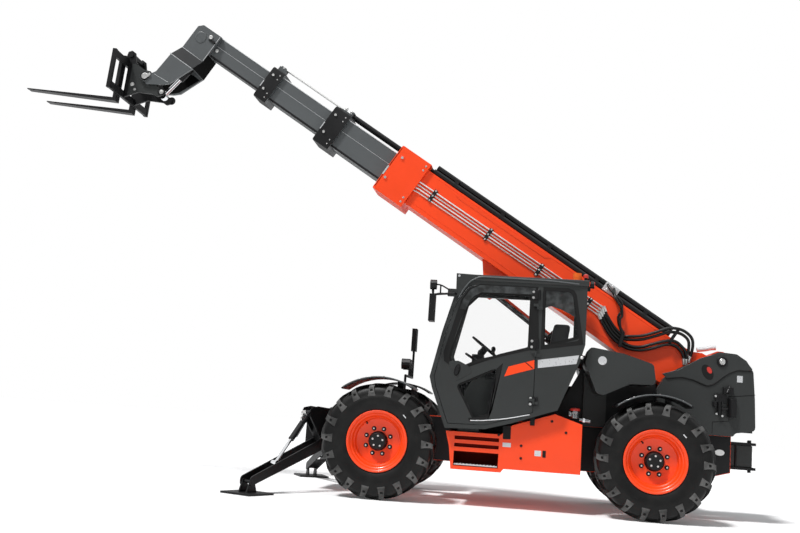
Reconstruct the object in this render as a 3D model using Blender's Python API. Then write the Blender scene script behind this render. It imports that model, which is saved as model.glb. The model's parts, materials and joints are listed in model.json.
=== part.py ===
"""Telehandler: four-wheel-steer carrier with a side cab, a four-section boom and front stabilisers.

Machine frame: x forward from the rear axle, y to the left (cab side), z up from the floor.
Boom frame: x along the boom from its pivot, z square to it, tilted by BOOM_ANGLE_DEG.
The root empty moves the whole machine so that its box is centred on the world origin in x.
"""
import math

import bmesh
import bpy
from mathutils import Matrix, Vector

# Fits and working values
SEAT_GAP = 0.0003
PAD_GAP = 0.0006
PIN_GAP = 0.0006
OVERRUN = 0.05
WELD = 0.004
ROUND_STEPS = 12
RIM_STEPS = 18
LUG_COUNT = 18
AXLE_STEPS = 12
PIPE_STEPS = 8
BAR_STEPS = 6
ARC_STEPS = 3
SHARP_DEG = 32

# Carrier
WHEELBASE = 2.99
TRACK_HALF = 0.98
KINGPIN_IN = 0.23
KINGPIN_Y = TRACK_HALF - KINGPIN_IN
FRAME_HALF = 0.31
FRAME_PLATE = 0.035
FRAME_TOP = 0.95
FRAME_LOW = 0.44
FRAME_REAR = -0.93
FRAME_NOSE_OUT = 0.59
FRAME_FRONT = WHEELBASE + FRAME_NOSE_OUT
FRAME_ARCH = 0.235
FRAME_FLOOR = 0.03
SIDE_HALF = 1.0

# Wheels
TYRE_RADIUS = 0.635
TYRE_SHOULDER = 0.60
LUG_DEEP = 0.03
LUG_FLANK_SHARE = 0.14
TYRE_BULGE = 0.47
TYRE_WIDTH = 0.40
TYRE_BEAD = 0.015
RIM_WIDTH = 0.37
RIM_SEAT = 0.312
RIM_FLANGE = 0.335
RIM_SKIN = 0.022
DISC_OUT = 0.02
DISC_THICK = 0.03
HUB_RADIUS = 0.095
HUB_OUT = 0.065

# Axles and knuckles
AXLE_TUBE = 0.10
AXLE_DIFF = 0.19
AXLE_DIFF_HALF = 0.20
YOKE_REACH = 0.13
YOKE_LIP = 0.06
YOKE_Y = KINGPIN_Y - YOKE_REACH
YOKE_OUT = KINGPIN_Y + YOKE_LIP
YOKE_HALF = 0.19
YOKE_ARM = 0.045
YOKE_LENGTH_HALF = 0.07
KNUCKLE_BARREL = 0.075
KNUCKLE_HUB = 0.12
FENDER_RADIUS = 0.69
FENDER_SKIN = 0.018
FENDER_IN = 0.28
FENDER_OUT = 0.21
FENDER_INNER_Y = TRACK_HALF - FENDER_IN
FENDER_OUTER_Y = TRACK_HALF + FENDER_OUT
FENDER_STRUT = 0.035
FENDER_STRUT_OFFSET = 0.17
FENDER_START_DEG = 52
FENDER_SPAN_DEG = 70
FENDER_STEPS = 12

# Cab
CAB_INNER_Y = 0.33
CAB_OUTER_Y = 1.10
CAB_SETBACK = 0.53
CAB_CLEAR = 0.145
CAB_FRONT = WHEELBASE - CAB_SETBACK
CAB_REAR = TYRE_RADIUS + CAB_CLEAR
CAB_LOW = 0.83
CAB_TOP = 2.47
CAB_WALL = 0.05
ROOF_THICK = 0.07
ROOF_LIP = 0.02
DOOR_GAP = 0.006
GLASS = 0.006
GLASS_RECESS = 0.016

# Boom
BOOM_ANGLE_DEG = 32.5
PIVOT_X = -0.79
PIVOT_Z = 1.78
PIVOT_PIN = 0.05
PIVOT_BOSS = 0.13
SECTION_WALL = 0.012
LIFT_EYE_ALONG = 2.65
LIFT_EYE_DOWN = 0.82
LIFT_BASE_X = -0.35
LIFT_BASE_Z = 0.90
TILT_PIN_ALONG = 7.886
TILT_PIN_DOWN = 1.17
TILT_EYE_ALONG = 7.624
TILT_EYE_DOWN = 1.229
TILT_PIN = 0.035
TILT_BASE_ALONG = 7.50
TILT_BASE_DOWN = 0.42


def remove_scene_objects():
    for item in list(bpy.data.objects):
        bpy.data.objects.remove(item, do_unlink=True)


def material(name, colour, roughness, metallic):
    made = bpy.data.materials.new(name)
    made.use_nodes = True
    surface = made.node_tree.nodes["Principled BSDF"]
    surface.inputs["Base Color"].default_value = (*colour, 1.0)
    surface.inputs["Roughness"].default_value = roughness
    surface.inputs["Metallic"].default_value = metallic
    return made


def empty(name, parent, location, pitch=0.0):
    made = bpy.data.objects.new(name, None)
    bpy.context.collection.objects.link(made)
    made.parent = parent
    made.location = location
    made.rotation_euler = (0.0, pitch, 0.0)
    return made


def loft(loops, closed=False):
    """Skin a row of equal loops of points. Ends are capped, or joined to each other if closed."""
    mesh = bmesh.new()
    rings = [[mesh.verts.new(point) for point in loop] for loop in loops]
    pairs = list(zip(rings, rings[1:]))
    if closed:
        pairs.append((rings[-1], rings[0]))
    else:
        mesh.faces.new(rings[0])
        mesh.faces.new(rings[-1])
    for first, second in pairs:
        for i in range(len(first)):
            j = (i + 1) % len(first)
            mesh.faces.new((first[i], first[j], second[j], second[i]))
    bmesh.ops.recalc_face_normals(mesh, faces=mesh.faces)
    data = bpy.data.meshes.new("shape")
    mesh.to_mesh(data)
    mesh.free()
    made = bpy.data.objects.new("shape", data)
    bpy.context.collection.objects.link(made)
    return made


def placed(axis, pair, station):
    """Put an outline's pair at a station: (y, z) across X, (x, z) across Y, (x, y) across Z."""
    a, b = pair
    return {"X": (station, a, b), "Y": (a, station, b), "Z": (a, b, station)}[axis]


def prism(axis, outline, low, high):
    return loft([[placed(axis, pair, station) for pair in outline] for station in (low, high)])


def block(low, high):
    corners = ((low[0], low[1]), (high[0], low[1]), (high[0], high[1]), (low[0], high[1]))
    return prism("Z", corners, low[2], high[2])


def spread(shares, low, high):
    """Turn an outline given as shares of a rectangle into sizes."""
    return [(low[0] + a * (high[0] - low[0]), low[1] + b * (high[1] - low[1])) for a, b in shares]


def rounded(outline, radius, steps=ARC_STEPS):
    """Round every corner of an outline, by less where its sides are short."""
    result = []
    count = len(outline)
    for i in range(count):
        corner = Vector(outline[i])
        back = Vector(outline[i - 1]) - corner
        ahead = Vector(outline[(i + 1) % count]) - corner
        half = back.angle(ahead) / 2
        reach = min(radius / math.tan(half), back.length * 0.45, ahead.length * 0.45)
        start = corner + back.normalized() * reach
        end = corner + ahead.normalized() * reach
        for k in range(steps + 1):
            t = k / steps
            result.append(tuple(start * (1 - t) ** 2 + corner * 2 * t * (1 - t) + end * t ** 2))
    return result


def inset(outline, distance):
    """Move each side of an outline inwards by a distance, outwards if it is negative."""
    count = len(outline)
    area = sum(outline[i - 1][0] * outline[i][1] - outline[i][0] * outline[i - 1][1] for i in range(count))
    side = 1 if area > 0 else -1
    result = []
    for i in range(count):
        corner = Vector(outline[i])
        back = (corner - Vector(outline[i - 1])).normalized()
        ahead = (Vector(outline[(i + 1) % count]) - corner).normalized()
        normal_back = Vector((-back.y, back.x)) * side
        normal_ahead = Vector((-ahead.y, ahead.x)) * side
        middle = (normal_back + normal_ahead).normalized()
        result.append(tuple(corner + middle * distance / middle.dot(normal_back)))
    return result


def ring(centre, direction, radius, steps=ROUND_STEPS, phase=0.5):
    """A circle of points round a direction."""
    turn = Vector((0.0, 0.0, 1.0)).rotation_difference(Vector(direction))
    points = []
    for k in range(steps):
        angle = 2 * math.pi * (k + phase) / steps
        flat = Vector((math.cos(angle), math.sin(angle), 0.0)) * radius
        points.append(tuple(Vector(centre) + turn @ flat))
    return points


def rod(start, end, radius, steps=ROUND_STEPS):
    along = Vector(end) - Vector(start)
    return loft([ring(start, along, radius, steps), ring(end, along, radius, steps)])


def bore(start, end, radius, steps=ROUND_STEPS):
    """Cutter for a round hole whose flats clear a pin of this radius, its corners between the pin's."""
    along = Vector(end) - Vector(start)
    reach = (radius + PIN_GAP) / math.cos(math.pi / steps)
    return loft([ring(start, along, reach, steps, 0.0), ring(end, along, reach, steps, 0.0)])


def turned(profile, centre, side=1, closed=False, steps=RIM_STEPS):
    """Turn a profile of (offset along y, radius) pairs about the y axis through a centre."""
    x, y, z = centre
    return loft([ring((x, y + side * offset, z), (0.0, 1.0, 0.0), radius, steps)
                 for offset, radius in profile], closed)


def pipe(points, radius, steps=PIPE_STEPS):
    """A round bar through a row of points, mitred at its bends."""
    path = [Vector(point) for point in points]
    loops = []
    for i, point in enumerate(path):
        back = (point - path[i - 1]).normalized() if i else (path[1] - point).normalized()
        ahead = (path[i + 1] - point).normalized() if i < len(path) - 1 else back
        middle = (back + ahead).normalized()
        if not i:
            base = ring(point, back, radius, steps)
        else:
            base = []
            for old in loops[-1]:
                travel = point - Vector(old)
                base.append(tuple(Vector(old) + back * travel.dot(middle) / back.dot(middle)))
        loops.append(base)
    return loft(loops)


def combine(base, others, operation):
    for other in others:
        step = base.modifiers.new(operation, "BOOLEAN")
        step.operation = operation
        step.solver = "EXACT"
        step.object = other
    view = bpy.context.evaluated_depsgraph_get()
    made = bpy.data.meshes.new_from_object(base.evaluated_get(view))
    base.modifiers.clear()
    base.data = made
    for other in others:
        bpy.data.objects.remove(other, do_unlink=True)
    return base


def facets(shape):
    """Split a shape's bent faces into triangles."""
    mesh = bmesh.new()
    mesh.from_mesh(shape.data)
    bmesh.ops.triangulate(mesh, faces=mesh.faces)
    mesh.to_mesh(shape.data)
    mesh.free()
    return shape


def fuse(*shapes):
    return combine(shapes[0], shapes[1:], "UNION")


def cut(shape, *cutters):
    return combine(shape, cutters, "DIFFERENCE")


def finish(name, shape, look, parent, centre=(0.0, 0.0, 0.0)):
    """Name a shape, give it its material and put its origin on its centre or joint axis."""
    shape.name = name
    shape.data.name = name
    shape.data.transform(Matrix.Translation(-Vector(centre)))
    shape.location = centre
    shape.parent = parent
    shape.data.materials.clear()
    shape.data.materials.append(look)
    shape.data.shade_smooth()
    shape.data.set_sharp_from_angle(angle=math.radians(SHARP_DEG))
    return shape


def box_tube(low_x, high_x, half, low_z, high_z, wall):
    outer = block((low_x, -half, low_z), (high_x, half, high_z))
    inner = block((low_x - OVERRUN, -half + wall, low_z + wall),
                  (high_x + OVERRUN, half - wall, high_z - wall))
    return cut(outer, inner)


remove_scene_objects()

ORANGE = material("orange_paint", (0.85, 0.11, 0.03), 0.35, 0.0)
GREY = material("dark_grey_paint", (0.045, 0.05, 0.055), 0.4, 0.0)
BOOM_GREY = material("boom_grey_paint", (0.12, 0.13, 0.135), 0.35, 0.0)
BLACK = material("black_paint", (0.012, 0.012, 0.013), 0.4, 0.0)
RUBBER = material("tyre_rubber", (0.02, 0.02, 0.021), 0.85, 0.0)
CHROME = material("chromed_rod", (0.75, 0.76, 0.78), 0.12, 1.0)
GLASS_LOOK = material("clear_glass", (0.55, 0.6, 0.62), 0.05, 0.0)
PLASTIC = material("black_plastic", (0.02, 0.02, 0.02), 0.55, 0.0)
AMBER = material("amber_lens", (0.9, 0.25, 0.02), 0.3, 0.0)

machine = empty("machine", None, (0.0, 0.0, 0.0))
# The tyres stand on a flat of their faceted tread
LUG_HALF_ANGLE = math.pi * (0.5 - LUG_FLANK_SHARE) / LUG_COUNT
AXLE_Z = TYRE_RADIUS * math.cos(LUG_HALF_ANGLE)


# Wheels, knuckles and axles

def wheel(place, axle_x, side):
    centre = (axle_x, side * TRACK_HALF, AXLE_Z)
    half = RIM_WIDTH / 2
    bead = half - 2 * TYRE_BEAD
    disc = DISC_OUT + DISC_THICK
    dish = RIM_SEAT - 2 * RIM_SKIN
    rim = turned((
        (disc + HUB_OUT, HUB_RADIUS * 0.6),
        (disc + HUB_OUT * 0.8, HUB_RADIUS * 0.95),
        (disc, HUB_RADIUS),
        (disc, dish - RIM_SKIN),
        (half - TYRE_BEAD, RIM_SEAT - RIM_SKIN),
        (half, RIM_SEAT),
        (half, RIM_FLANGE),
        (half - TYRE_BEAD, RIM_FLANGE),
        (bead, RIM_SEAT),
        (-bead, RIM_SEAT),
        (-half + TYRE_BEAD, RIM_FLANGE),
        (-half, RIM_FLANGE),
        (-half, RIM_SEAT - RIM_SKIN),
        (DISC_OUT - DISC_THICK, dish),
        (DISC_OUT, dish - RIM_SKIN),
        (DISC_OUT, HUB_RADIUS),
    ), centre, side)
    finish("rim_" + place, rim, ORANGE, machine, centre)
    finish("tyre_" + place, tyre(centre, side), RUBBER, machine, centre)


def tyre(centre, side):
    """A tyre with staggered rows of lugs, a left and a right row that each fill half of every pitch."""
    seat = (RIM_SEAT + SEAT_GAP) / math.cos(LUG_HALF_ANGLE)
    inner = RIM_WIDTH / 2 - 2 * TYRE_BEAD - WELD
    wide = TYRE_WIDTH / 2
    pitch = 2 * math.pi / LUG_COUNT
    turn = -math.pi / 2 - LUG_HALF_ANGLE - LUG_FLANK_SHARE * pitch
    loops = []
    for k in range(LUG_COUNT):
        # Share of the pitch, depth of the left and of the right row
        for share, left, right in ((0.0, LUG_DEEP, 0.0), (LUG_FLANK_SHARE, 0.0, LUG_DEEP),
                                   (0.5, 0.0, LUG_DEEP), (0.5 + LUG_FLANK_SHARE, LUG_DEEP, 0.0)):
            angle = turn + pitch * (k + share)
            profile = ((-inner, seat), (inner, seat), (wide, TYRE_BULGE),
                       (wide * 0.96, TYRE_SHOULDER - left), (wide * 0.5, TYRE_RADIUS - left),
                       (-wide * 0.5, TYRE_RADIUS - right), (-wide * 0.96, TYRE_SHOULDER - right),
                       (-wide, TYRE_BULGE))
            loops.append([(centre[0] + radius * math.cos(angle), centre[1] + side * offset,
                           centre[2] + radius * math.sin(angle)) for offset, radius in profile])
    return facets(loft(loops, closed=True))


def knuckle(place, axle_x, side):
    """Steering knuckle with its hub spindle and the fender that turns with it."""
    pin_y = side * KINGPIN_Y
    hub_end = side * (TRACK_HALF + DISC_OUT - SEAT_GAP)
    high = YOKE_HALF - YOKE_ARM - SEAT_GAP
    barrel = rod((axle_x, pin_y, AXLE_Z - high), (axle_x, pin_y, AXLE_Z + high), KNUCKLE_BARREL)
    hub = rod((axle_x, pin_y, AXLE_Z), (axle_x, hub_end, AXLE_Z), KNUCKLE_HUB)
    strut_x = axle_x - FENDER_STRUT_OFFSET
    strut_low = AXLE_Z - FENDER_STRUT
    reach = math.sqrt(FENDER_RADIUS ** 2 - FENDER_STRUT_OFFSET ** 2)
    ys = sorted((side * FENDER_INNER_Y, side * (FENDER_INNER_Y + FENDER_STRUT)))
    strut = block((strut_x - FENDER_STRUT, ys[0], strut_low),
                  (strut_x + FENDER_STRUT, ys[1], AXLE_Z + reach + FENDER_SKIN / 2))
    lug = block((strut_x, ys[0], AXLE_Z - FENDER_STRUT), (axle_x, ys[1], AXLE_Z + FENDER_STRUT))
    outer = []
    inner = []
    for k in range(FENDER_STEPS + 1):
        angle = math.radians(FENDER_START_DEG + FENDER_SPAN_DEG * k / FENDER_STEPS)
        for row, radius in ((outer, FENDER_RADIUS + FENDER_SKIN), (inner, FENDER_RADIUS)):
            row.append((axle_x + radius * math.cos(angle), AXLE_Z + radius * math.sin(angle)))
    ends = sorted((side * FENDER_INNER_Y, side * FENDER_OUTER_Y))
    blade = prism("Y", outer + inner[::-1], ends[0], ends[1])
    body = fuse(barrel, hub, lug, strut, blade)
    finish("knuckle_fender_" + place, body, BLACK, machine, (axle_x, pin_y, AXLE_Z))


def axle(place, axle_x):
    tube = turned((
        (-YOKE_Y, AXLE_TUBE),
        (-AXLE_DIFF_HALF, AXLE_TUBE * 1.15),
        (-AXLE_DIFF_HALF / 2, AXLE_DIFF),
        (AXLE_DIFF_HALF / 2, AXLE_DIFF),
        (AXLE_DIFF_HALF, AXLE_TUBE * 1.15),
        (YOKE_Y, AXLE_TUBE),
    ), (axle_x, 0.0, AXLE_Z), steps=AXLE_STEPS)
    parts = [tube]
    for side in (1, -1):
        saddle = sorted((side * (FRAME_HALF - FRAME_PLATE), side * FRAME_HALF))
        parts.append(block((axle_x - YOKE_LENGTH_HALF, saddle[0], AXLE_Z),
                           (axle_x + YOKE_LENGTH_HALF, saddle[1], AXLE_Z + FRAME_ARCH - SEAT_GAP)))
        wall = sorted((side * (YOKE_Y - YOKE_ARM), side * YOKE_Y))
        parts.append(block((axle_x - YOKE_LENGTH_HALF, wall[0], AXLE_Z - YOKE_HALF),
                           (axle_x + YOKE_LENGTH_HALF, wall[1], AXLE_Z + YOKE_HALF)))
        arm = sorted((side * (YOKE_Y - YOKE_ARM), side * YOKE_OUT))
        for level in (-YOKE_HALF, YOKE_HALF - YOKE_ARM):
            parts.append(block((axle_x - YOKE_LENGTH_HALF, arm[0], AXLE_Z + level),
                               (axle_x + YOKE_LENGTH_HALF, arm[1], AXLE_Z + level + YOKE_ARM)))
    finish("axle_" + place, fuse(*parts), BLACK, machine, (axle_x, 0.0, AXLE_Z))


for place, axle_x in (("front", WHEELBASE), ("rear", 0.0)):
    axle(place, axle_x)
    for name, side in (("left", 1), ("right", -1)):
        wheel(place + "_" + name, axle_x, side)
        knuckle(place + "_" + name, axle_x, side)


# Chassis frame with its side boxes

SKIRT_REAR_OUT = 0.01
SKIRT_REAR = CAB_REAR - SKIRT_REAR_OUT
SKIRT_SETBACK = 0.74
SKIRT_FRONT = WHEELBASE - SKIRT_SETBACK
SKIRT_LOW = 0.39
SKIRT_TOP = 1.06
SKIRT_WALL = 0.03
SKIRT_DECK_SHARE = 0.61
SKIRT_DECK = SKIRT_LOW + SKIRT_DECK_SHARE * (SKIRT_TOP - SKIRT_LOW)
# Shares of the skirt's length and height
SKIRT_SHARES = (
    (0.00, 0.06), (0.56, 0.06), (0.58, 0.00), (0.95, 0.00), (0.97, 0.36), (1.00, SKIRT_DECK_SHARE),
    (0.59, SKIRT_DECK_SHARE), (0.51, 0.77), (0.20, 1.00), (0.00, 0.86),
)
SKIRT_SLOT_REAR = SKIRT_FRONT - 0.59
SKIRT_SLOT_FRONT = SKIRT_FRONT - 0.10
# Low edge, high edge and depth of each opening in the left side box
SKIRT_SLOTS = ((0.43, 0.59, 0.30), (0.635, 0.675, 0.12), (0.715, 0.755, 0.12))
FRAME_NOSE = 0.62
FRAME_SHARES = (
    (0.00, 0.20), (0.08, 0.00), (0.95, 0.00), (1.00, 0.25), (1.00, 0.90), (0.97, 1.00), (0.00, 1.00),
)
LIFT_PIN = 0.04
ENGINE_ROOM_TOP = 0.86


def chassis_frame():
    outline = spread(FRAME_SHARES, (FRAME_REAR, FRAME_LOW), (FRAME_FRONT, FRAME_TOP))
    parts = []
    for side in (1, -1):
        ys = sorted((side * (FRAME_HALF - FRAME_PLATE), side * FRAME_HALF))
        plate = prism("Y", outline, ys[0], ys[1])
        arches = []
        for x in (0.0, WHEELBASE):
            arch = [(x - FRAME_ARCH, FRAME_LOW - OVERRUN), (x - FRAME_ARCH, AXLE_Z),
                    (x - FRAME_ARCH / 2, AXLE_Z + FRAME_ARCH), (x + FRAME_ARCH / 2, AXLE_Z + FRAME_ARCH),
                    (x + FRAME_ARCH, AXLE_Z), (x + FRAME_ARCH, FRAME_LOW - OVERRUN)]
            arches.append(prism("Y", arch, ys[0] - OVERRUN, ys[1] + OVERRUN))
        parts.append(cut(plate, *arches))
    inner = FRAME_HALF - FRAME_PLATE / 2
    floor = block((FRAME_ARCH * 2, -inner, FRAME_LOW),
                  (WHEELBASE - FRAME_ARCH * 2, inner, FRAME_LOW + FRAME_FLOOR))
    front = block((FRAME_FRONT - 4 * FRAME_FLOOR, -inner, FRAME_NOSE),
                  (FRAME_FRONT - FRAME_FLOOR, inner, FRAME_TOP - FRAME_FLOOR))
    rear = block((FRAME_REAR, -inner, FRAME_NOSE),
                 (FRAME_REAR + 2 * FRAME_FLOOR, inner, FRAME_TOP - FRAME_FLOOR))
    pin = rod((LIFT_BASE_X, -inner, LIFT_BASE_Z), (LIFT_BASE_X, inner, LIFT_BASE_Z), LIFT_PIN)
    tie = block((WHEELBASE - FRAME_PLATE, -inner, AXLE_Z + FRAME_ARCH),
                (WHEELBASE + FRAME_PLATE, inner, FRAME_TOP - FRAME_FLOOR))
    skirt = spread(SKIRT_SHARES, (SKIRT_REAR, SKIRT_LOW), (SKIRT_FRONT, SKIRT_TOP))
    left = prism("Y", skirt, inner, SIDE_HALF)
    slots = [block((SKIRT_SLOT_REAR, SIDE_HALF - deep, low), (SKIRT_SLOT_FRONT, SIDE_HALF + OVERRUN, high))
             for low, high, deep in SKIRT_SLOTS]
    left = cut(left, *slots)
    right_outline = [(x, min(z, ENGINE_ROOM_TOP)) for x, z in skirt]
    right = prism("Y", right_outline, -SIDE_HALF, -inner)
    room = block((SKIRT_REAR + SKIRT_WALL, -SIDE_HALF + SKIRT_WALL, SKIRT_LOW + 2 * SKIRT_WALL),
                 (SKIRT_FRONT - 4 * SKIRT_WALL, -FRAME_HALF - SKIRT_WALL, SKIRT_TOP + OVERRUN))
    right = cut(right, room)
    finish("chassis_frame", fuse(*parts, floor, front, rear, pin, tie, left, right), ORANGE, machine)


chassis_frame()


# Rear tower, rear bodies, hitch and engine

TOWER_INNER = 0.29
TOWER_OUTER = 0.43
TOWER_REAR = -1.17
TOWER_FRONT = -0.08
TOWER_TOP = 1.89
# Shares of the tower's length and of its height above the frame
TOWER_SHARES = (
    (0.00, 0.08), (0.01, 0.45), (0.03, 0.78), (0.10, 0.91), (0.20, 0.985), (0.38, 1.00),
    (0.79, 0.77), (0.93, 0.65), (1.00, 0.50), (1.00, 0.00), (0.22, 0.00), (0.20, 0.04),
)
COUNTERWEIGHT_FRONT = -1.0
COUNTERWEIGHT_TOP = 1.45
TOWER_HOLE_X = -0.57
TOWER_HOLE_Z = 1.66
TOWER_HOLE_LENGTH = 0.10
TOWER_HOLE_RADIUS = 0.035
BODY_REAR = 0.0
BODY_GAP = 0.015
BODY_FRONT = CAB_REAR - BODY_GAP
BODY_LOW = 1.30
BODY_TOP = 1.82
BODY_INNER = 0.44
BODY_SHARES = (
    (0.00, 0.28), (0.36, 0.27), (0.73, 0.00), (0.83, 0.04), (1.00, 0.65), (0.95, 1.00),
    (0.47, 0.90), (0.04, 0.71),
)
BODY_FOOT_IN = 0.025
BODY_FOOT_LENGTH = 0.26
BODY_FOOT_FRONT = BODY_FRONT - BODY_FOOT_IN
BODY_FOOT_REAR = BODY_FOOT_FRONT - BODY_FOOT_LENGTH
BODY_FOOT_INNER = 0.28
BODY_FOOT_OUTER = 0.41
HITCH_REAR = -1.25
HITCH_HALF = 0.11
HITCH_LOW = 0.58
HITCH_TOP = 0.89
HITCH_PLATE = 0.03
HITCH_PIN = 0.02


def rear_tower():
    outline = spread(TOWER_SHARES, (TOWER_REAR, FRAME_TOP + SEAT_GAP), (TOWER_FRONT, TOWER_TOP))
    parts = []
    for side in (1, -1):
        ys = sorted((side * TOWER_INNER, side * TOWER_OUTER))
        plate = prism("Y", rounded(outline, PIVOT_PIN), ys[0], ys[1])
        hub = bore((PIVOT_X, ys[0] - OVERRUN, PIVOT_Z), (PIVOT_X, ys[1] + OVERRUN, PIVOT_Z), PIVOT_PIN)
        hole = rounded([(TOWER_HOLE_X + a * TOWER_HOLE_LENGTH, TOWER_HOLE_Z + b * TOWER_HOLE_RADIUS)
                        for a, b in ((-1, -1), (1, -1), (1, 1), (-1, 1))], TOWER_HOLE_RADIUS)
        parts.append(cut(plate, hub, prism("Y", hole, ys[0] - OVERRUN, ys[1] + OVERRUN)))
    weight = block((TOWER_REAR + WELD, -TOWER_INNER - WELD, FRAME_TOP + OVERRUN),
                   (COUNTERWEIGHT_FRONT, TOWER_INNER + WELD, COUNTERWEIGHT_TOP))
    finish("rear_tower", fuse(*parts, weight), GREY, machine, (PIVOT_X, 0.0, FRAME_TOP))


def rear_body(name, side):
    outline = spread(BODY_SHARES, (BODY_REAR, BODY_LOW), (BODY_FRONT, BODY_TOP))
    ys = sorted((side * BODY_INNER, side * SIDE_HALF))
    body = prism("Y", rounded(outline, OVERRUN), ys[0], ys[1])
    foot = sorted((side * BODY_FOOT_INNER, side * BODY_FOOT_OUTER))
    top = (BODY_LOW + BODY_TOP) / 2
    leg = block((BODY_FOOT_REAR, foot[0], FRAME_TOP + SEAT_GAP), (BODY_FOOT_FRONT, foot[1], top))
    arm = sorted((side * BODY_FOOT_INNER, side * (BODY_INNER + WELD)))
    bridge = block((BODY_FOOT_REAR, arm[0], top - FRAME_PLATE), (BODY_FOOT_FRONT, arm[1], top))
    finish("rear_body_" + name, fuse(body, leg, bridge), GREY, machine, (BODY_REAR, 0.0, BODY_LOW))


def tow_hitch():
    back = FRAME_REAR - SEAT_GAP
    plates = [block((HITCH_REAR, -HITCH_HALF, z), (back, HITCH_HALF, z + HITCH_PLATE))
              for z in (HITCH_LOW, HITCH_TOP - HITCH_PLATE)]
    web = block((back - HITCH_PLATE, -HITCH_HALF, HITCH_LOW), (back, HITCH_HALF, HITCH_TOP))
    x = HITCH_REAR + HITCH_PLATE + HITCH_PIN
    pin = rod((x, 0.0, HITCH_LOW - HITCH_PLATE), (x, 0.0, HITCH_TOP + HITCH_PLATE), HITCH_PIN)
    finish("tow_hitch", fuse(*plates, web, pin), BLACK, machine, (back, 0.0, HITCH_LOW))


rear_tower()
for name, side in (("left", 1), ("right", -1)):
    rear_body(name, side)
tow_hitch()


ENGINE_REAR_SPACE = 0.18
ENGINE_FRONT_SPACE = 0.40
ENGINE_SIDE_SPACE = 0.10
ENGINE_REAR = SKIRT_REAR + ENGINE_REAR_SPACE
ENGINE_FRONT = SKIRT_FRONT - ENGINE_FRONT_SPACE
ENGINE_INNER = 0.42
ENGINE_OUTER = SIDE_HALF - ENGINE_SIDE_SPACE
ENGINE_TOP = 1.25
HOOD_HINGE_Y = 0.37
HOOD_TOP = 1.42
HOOD_CHAMFER = 0.14
HOOD_SHOULDER = SIDE_HALF - HOOD_CHAMFER
HOOD_EDGE_DROP = 0.10
HOOD_SKIN = 0.03
GRILLE_SLOTS = 5
GRILLE_PITCH = 0.06
GRILLE_LOW = 0.97
GRILLE_REAR = SKIRT_REAR + 0.16
GRILLE_FRONT = GRILLE_REAR + 0.50


def engine_and_hood():
    floor = SKIRT_LOW + 2 * SKIRT_WALL + SEAT_GAP
    engine = block((ENGINE_REAR, -ENGINE_OUTER, floor), (ENGINE_FRONT, -ENGINE_INNER, ENGINE_TOP))
    finish("engine", engine, BLACK, machine, (ENGINE_REAR, -ENGINE_INNER, floor))
    low = ENGINE_ROOM_TOP + SEAT_GAP
    section = [(-HOOD_HINGE_Y, low), (-HOOD_HINGE_Y, HOOD_TOP), (-HOOD_SHOULDER, HOOD_TOP),
               (-SIDE_HALF, HOOD_TOP - HOOD_EDGE_DROP), (-SIDE_HALF, low)]
    front = SKIRT_FRONT - 2 * SKIRT_WALL
    hood = prism("X", section, SKIRT_REAR + HOOD_SKIN, front)
    inside = [(-HOOD_HINGE_Y + OVERRUN, low - OVERRUN), (-HOOD_HINGE_Y + OVERRUN, HOOD_TOP - HOOD_SKIN),
              (-HOOD_SHOULDER, HOOD_TOP - HOOD_SKIN),
              (-SIDE_HALF + HOOD_SKIN, HOOD_TOP - HOOD_EDGE_DROP - HOOD_SKIN),
              (-SIDE_HALF + HOOD_SKIN, low - OVERRUN)]
    hood = cut(hood, prism("X", inside, SKIRT_REAR + 2 * HOOD_SKIN, front - HOOD_SKIN))
    slots = []
    for k in range(GRILLE_SLOTS):
        z = GRILLE_LOW + k * GRILLE_PITCH
        slots.append(block((GRILLE_REAR, -SIDE_HALF - OVERRUN, z),
                           (GRILLE_FRONT, -SIDE_HALF + 2 * HOOD_SKIN, z + GRILLE_PITCH / 2)))
    hood = cut(hood, *slots)
    finish("engine_hood", hood, GREY, machine, (SKIRT_REAR, -HOOD_HINGE_Y, HOOD_TOP))
    wall = FRAME_HALF + SEAT_GAP
    plate = block((SKIRT_REAR + HOOD_SKIN, -HOOD_HINGE_Y + SEAT_GAP, low),
                  (front, -wall, HOOD_TOP))
    finish("engine_room_wall", plate, BLACK, machine, (SKIRT_REAR, -wall, ENGINE_ROOM_TOP))


engine_and_hood()


# Boom: sections in the boom frame

PIVOT = (PIVOT_X, 0.0, PIVOT_Z)
boom = empty("boom_pivot", machine, PIVOT, -math.radians(BOOM_ANGLE_DEG))

# A value for each section, from the base outwards: half width, depth of its top and of its bottom
# below the pivot, rear end and front end
SECTION_HALF = (0.190, 0.160, 0.130, 0.100)
SECTION_TOP = (0.070, 0.115, 0.146, 0.177)
SECTION_LOW = (0.573, 0.520, 0.482, 0.460)
SECTION_REAR = (0.50, 1.33, 2.12, 2.74)
SECTION_FRONT = (4.54, 5.55, 6.55, 7.44)
# A value for each section's collar, which the last section lacks
COLLAR_HALF = (0.235, 0.200, 0.165)
COLLAR_TOP = (0.000, 0.068, 0.100)
COLLAR_LOW = (0.645, 0.580, 0.550)
COLLAR_REAR = (4.12, 5.33, 6.38)
COLLAR_FRONT = (4.55, 5.56, 6.56)
HEAD_REAR = 7.39
HEAD_FRONT = 7.745
HEAD_TOP = 0.175
HEAD_FOLD = 0.57
HEAD_FLARE = 0.73
HEAD_LOW = 1.245
HEAD_HALF = 0.165
HEAD_WIDE = 0.23
HEAD_SKIN = 0.03
# Shares of the head's length and height
HEAD_SHARES = (
    (0.00, 1.00), (0.84, 1.00), (1.00, 0.95), (1.00, 0.63), (1.11, 0.48), (1.16, 0.20), (1.40, 0.07),
    (1.18, 0.00), (0.65, 0.11), (0.45, 0.17), (0.08, 0.48), (0.00, 0.63),
)
BASE_REAR = -0.02
BASE_HIP = 0.55
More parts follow.
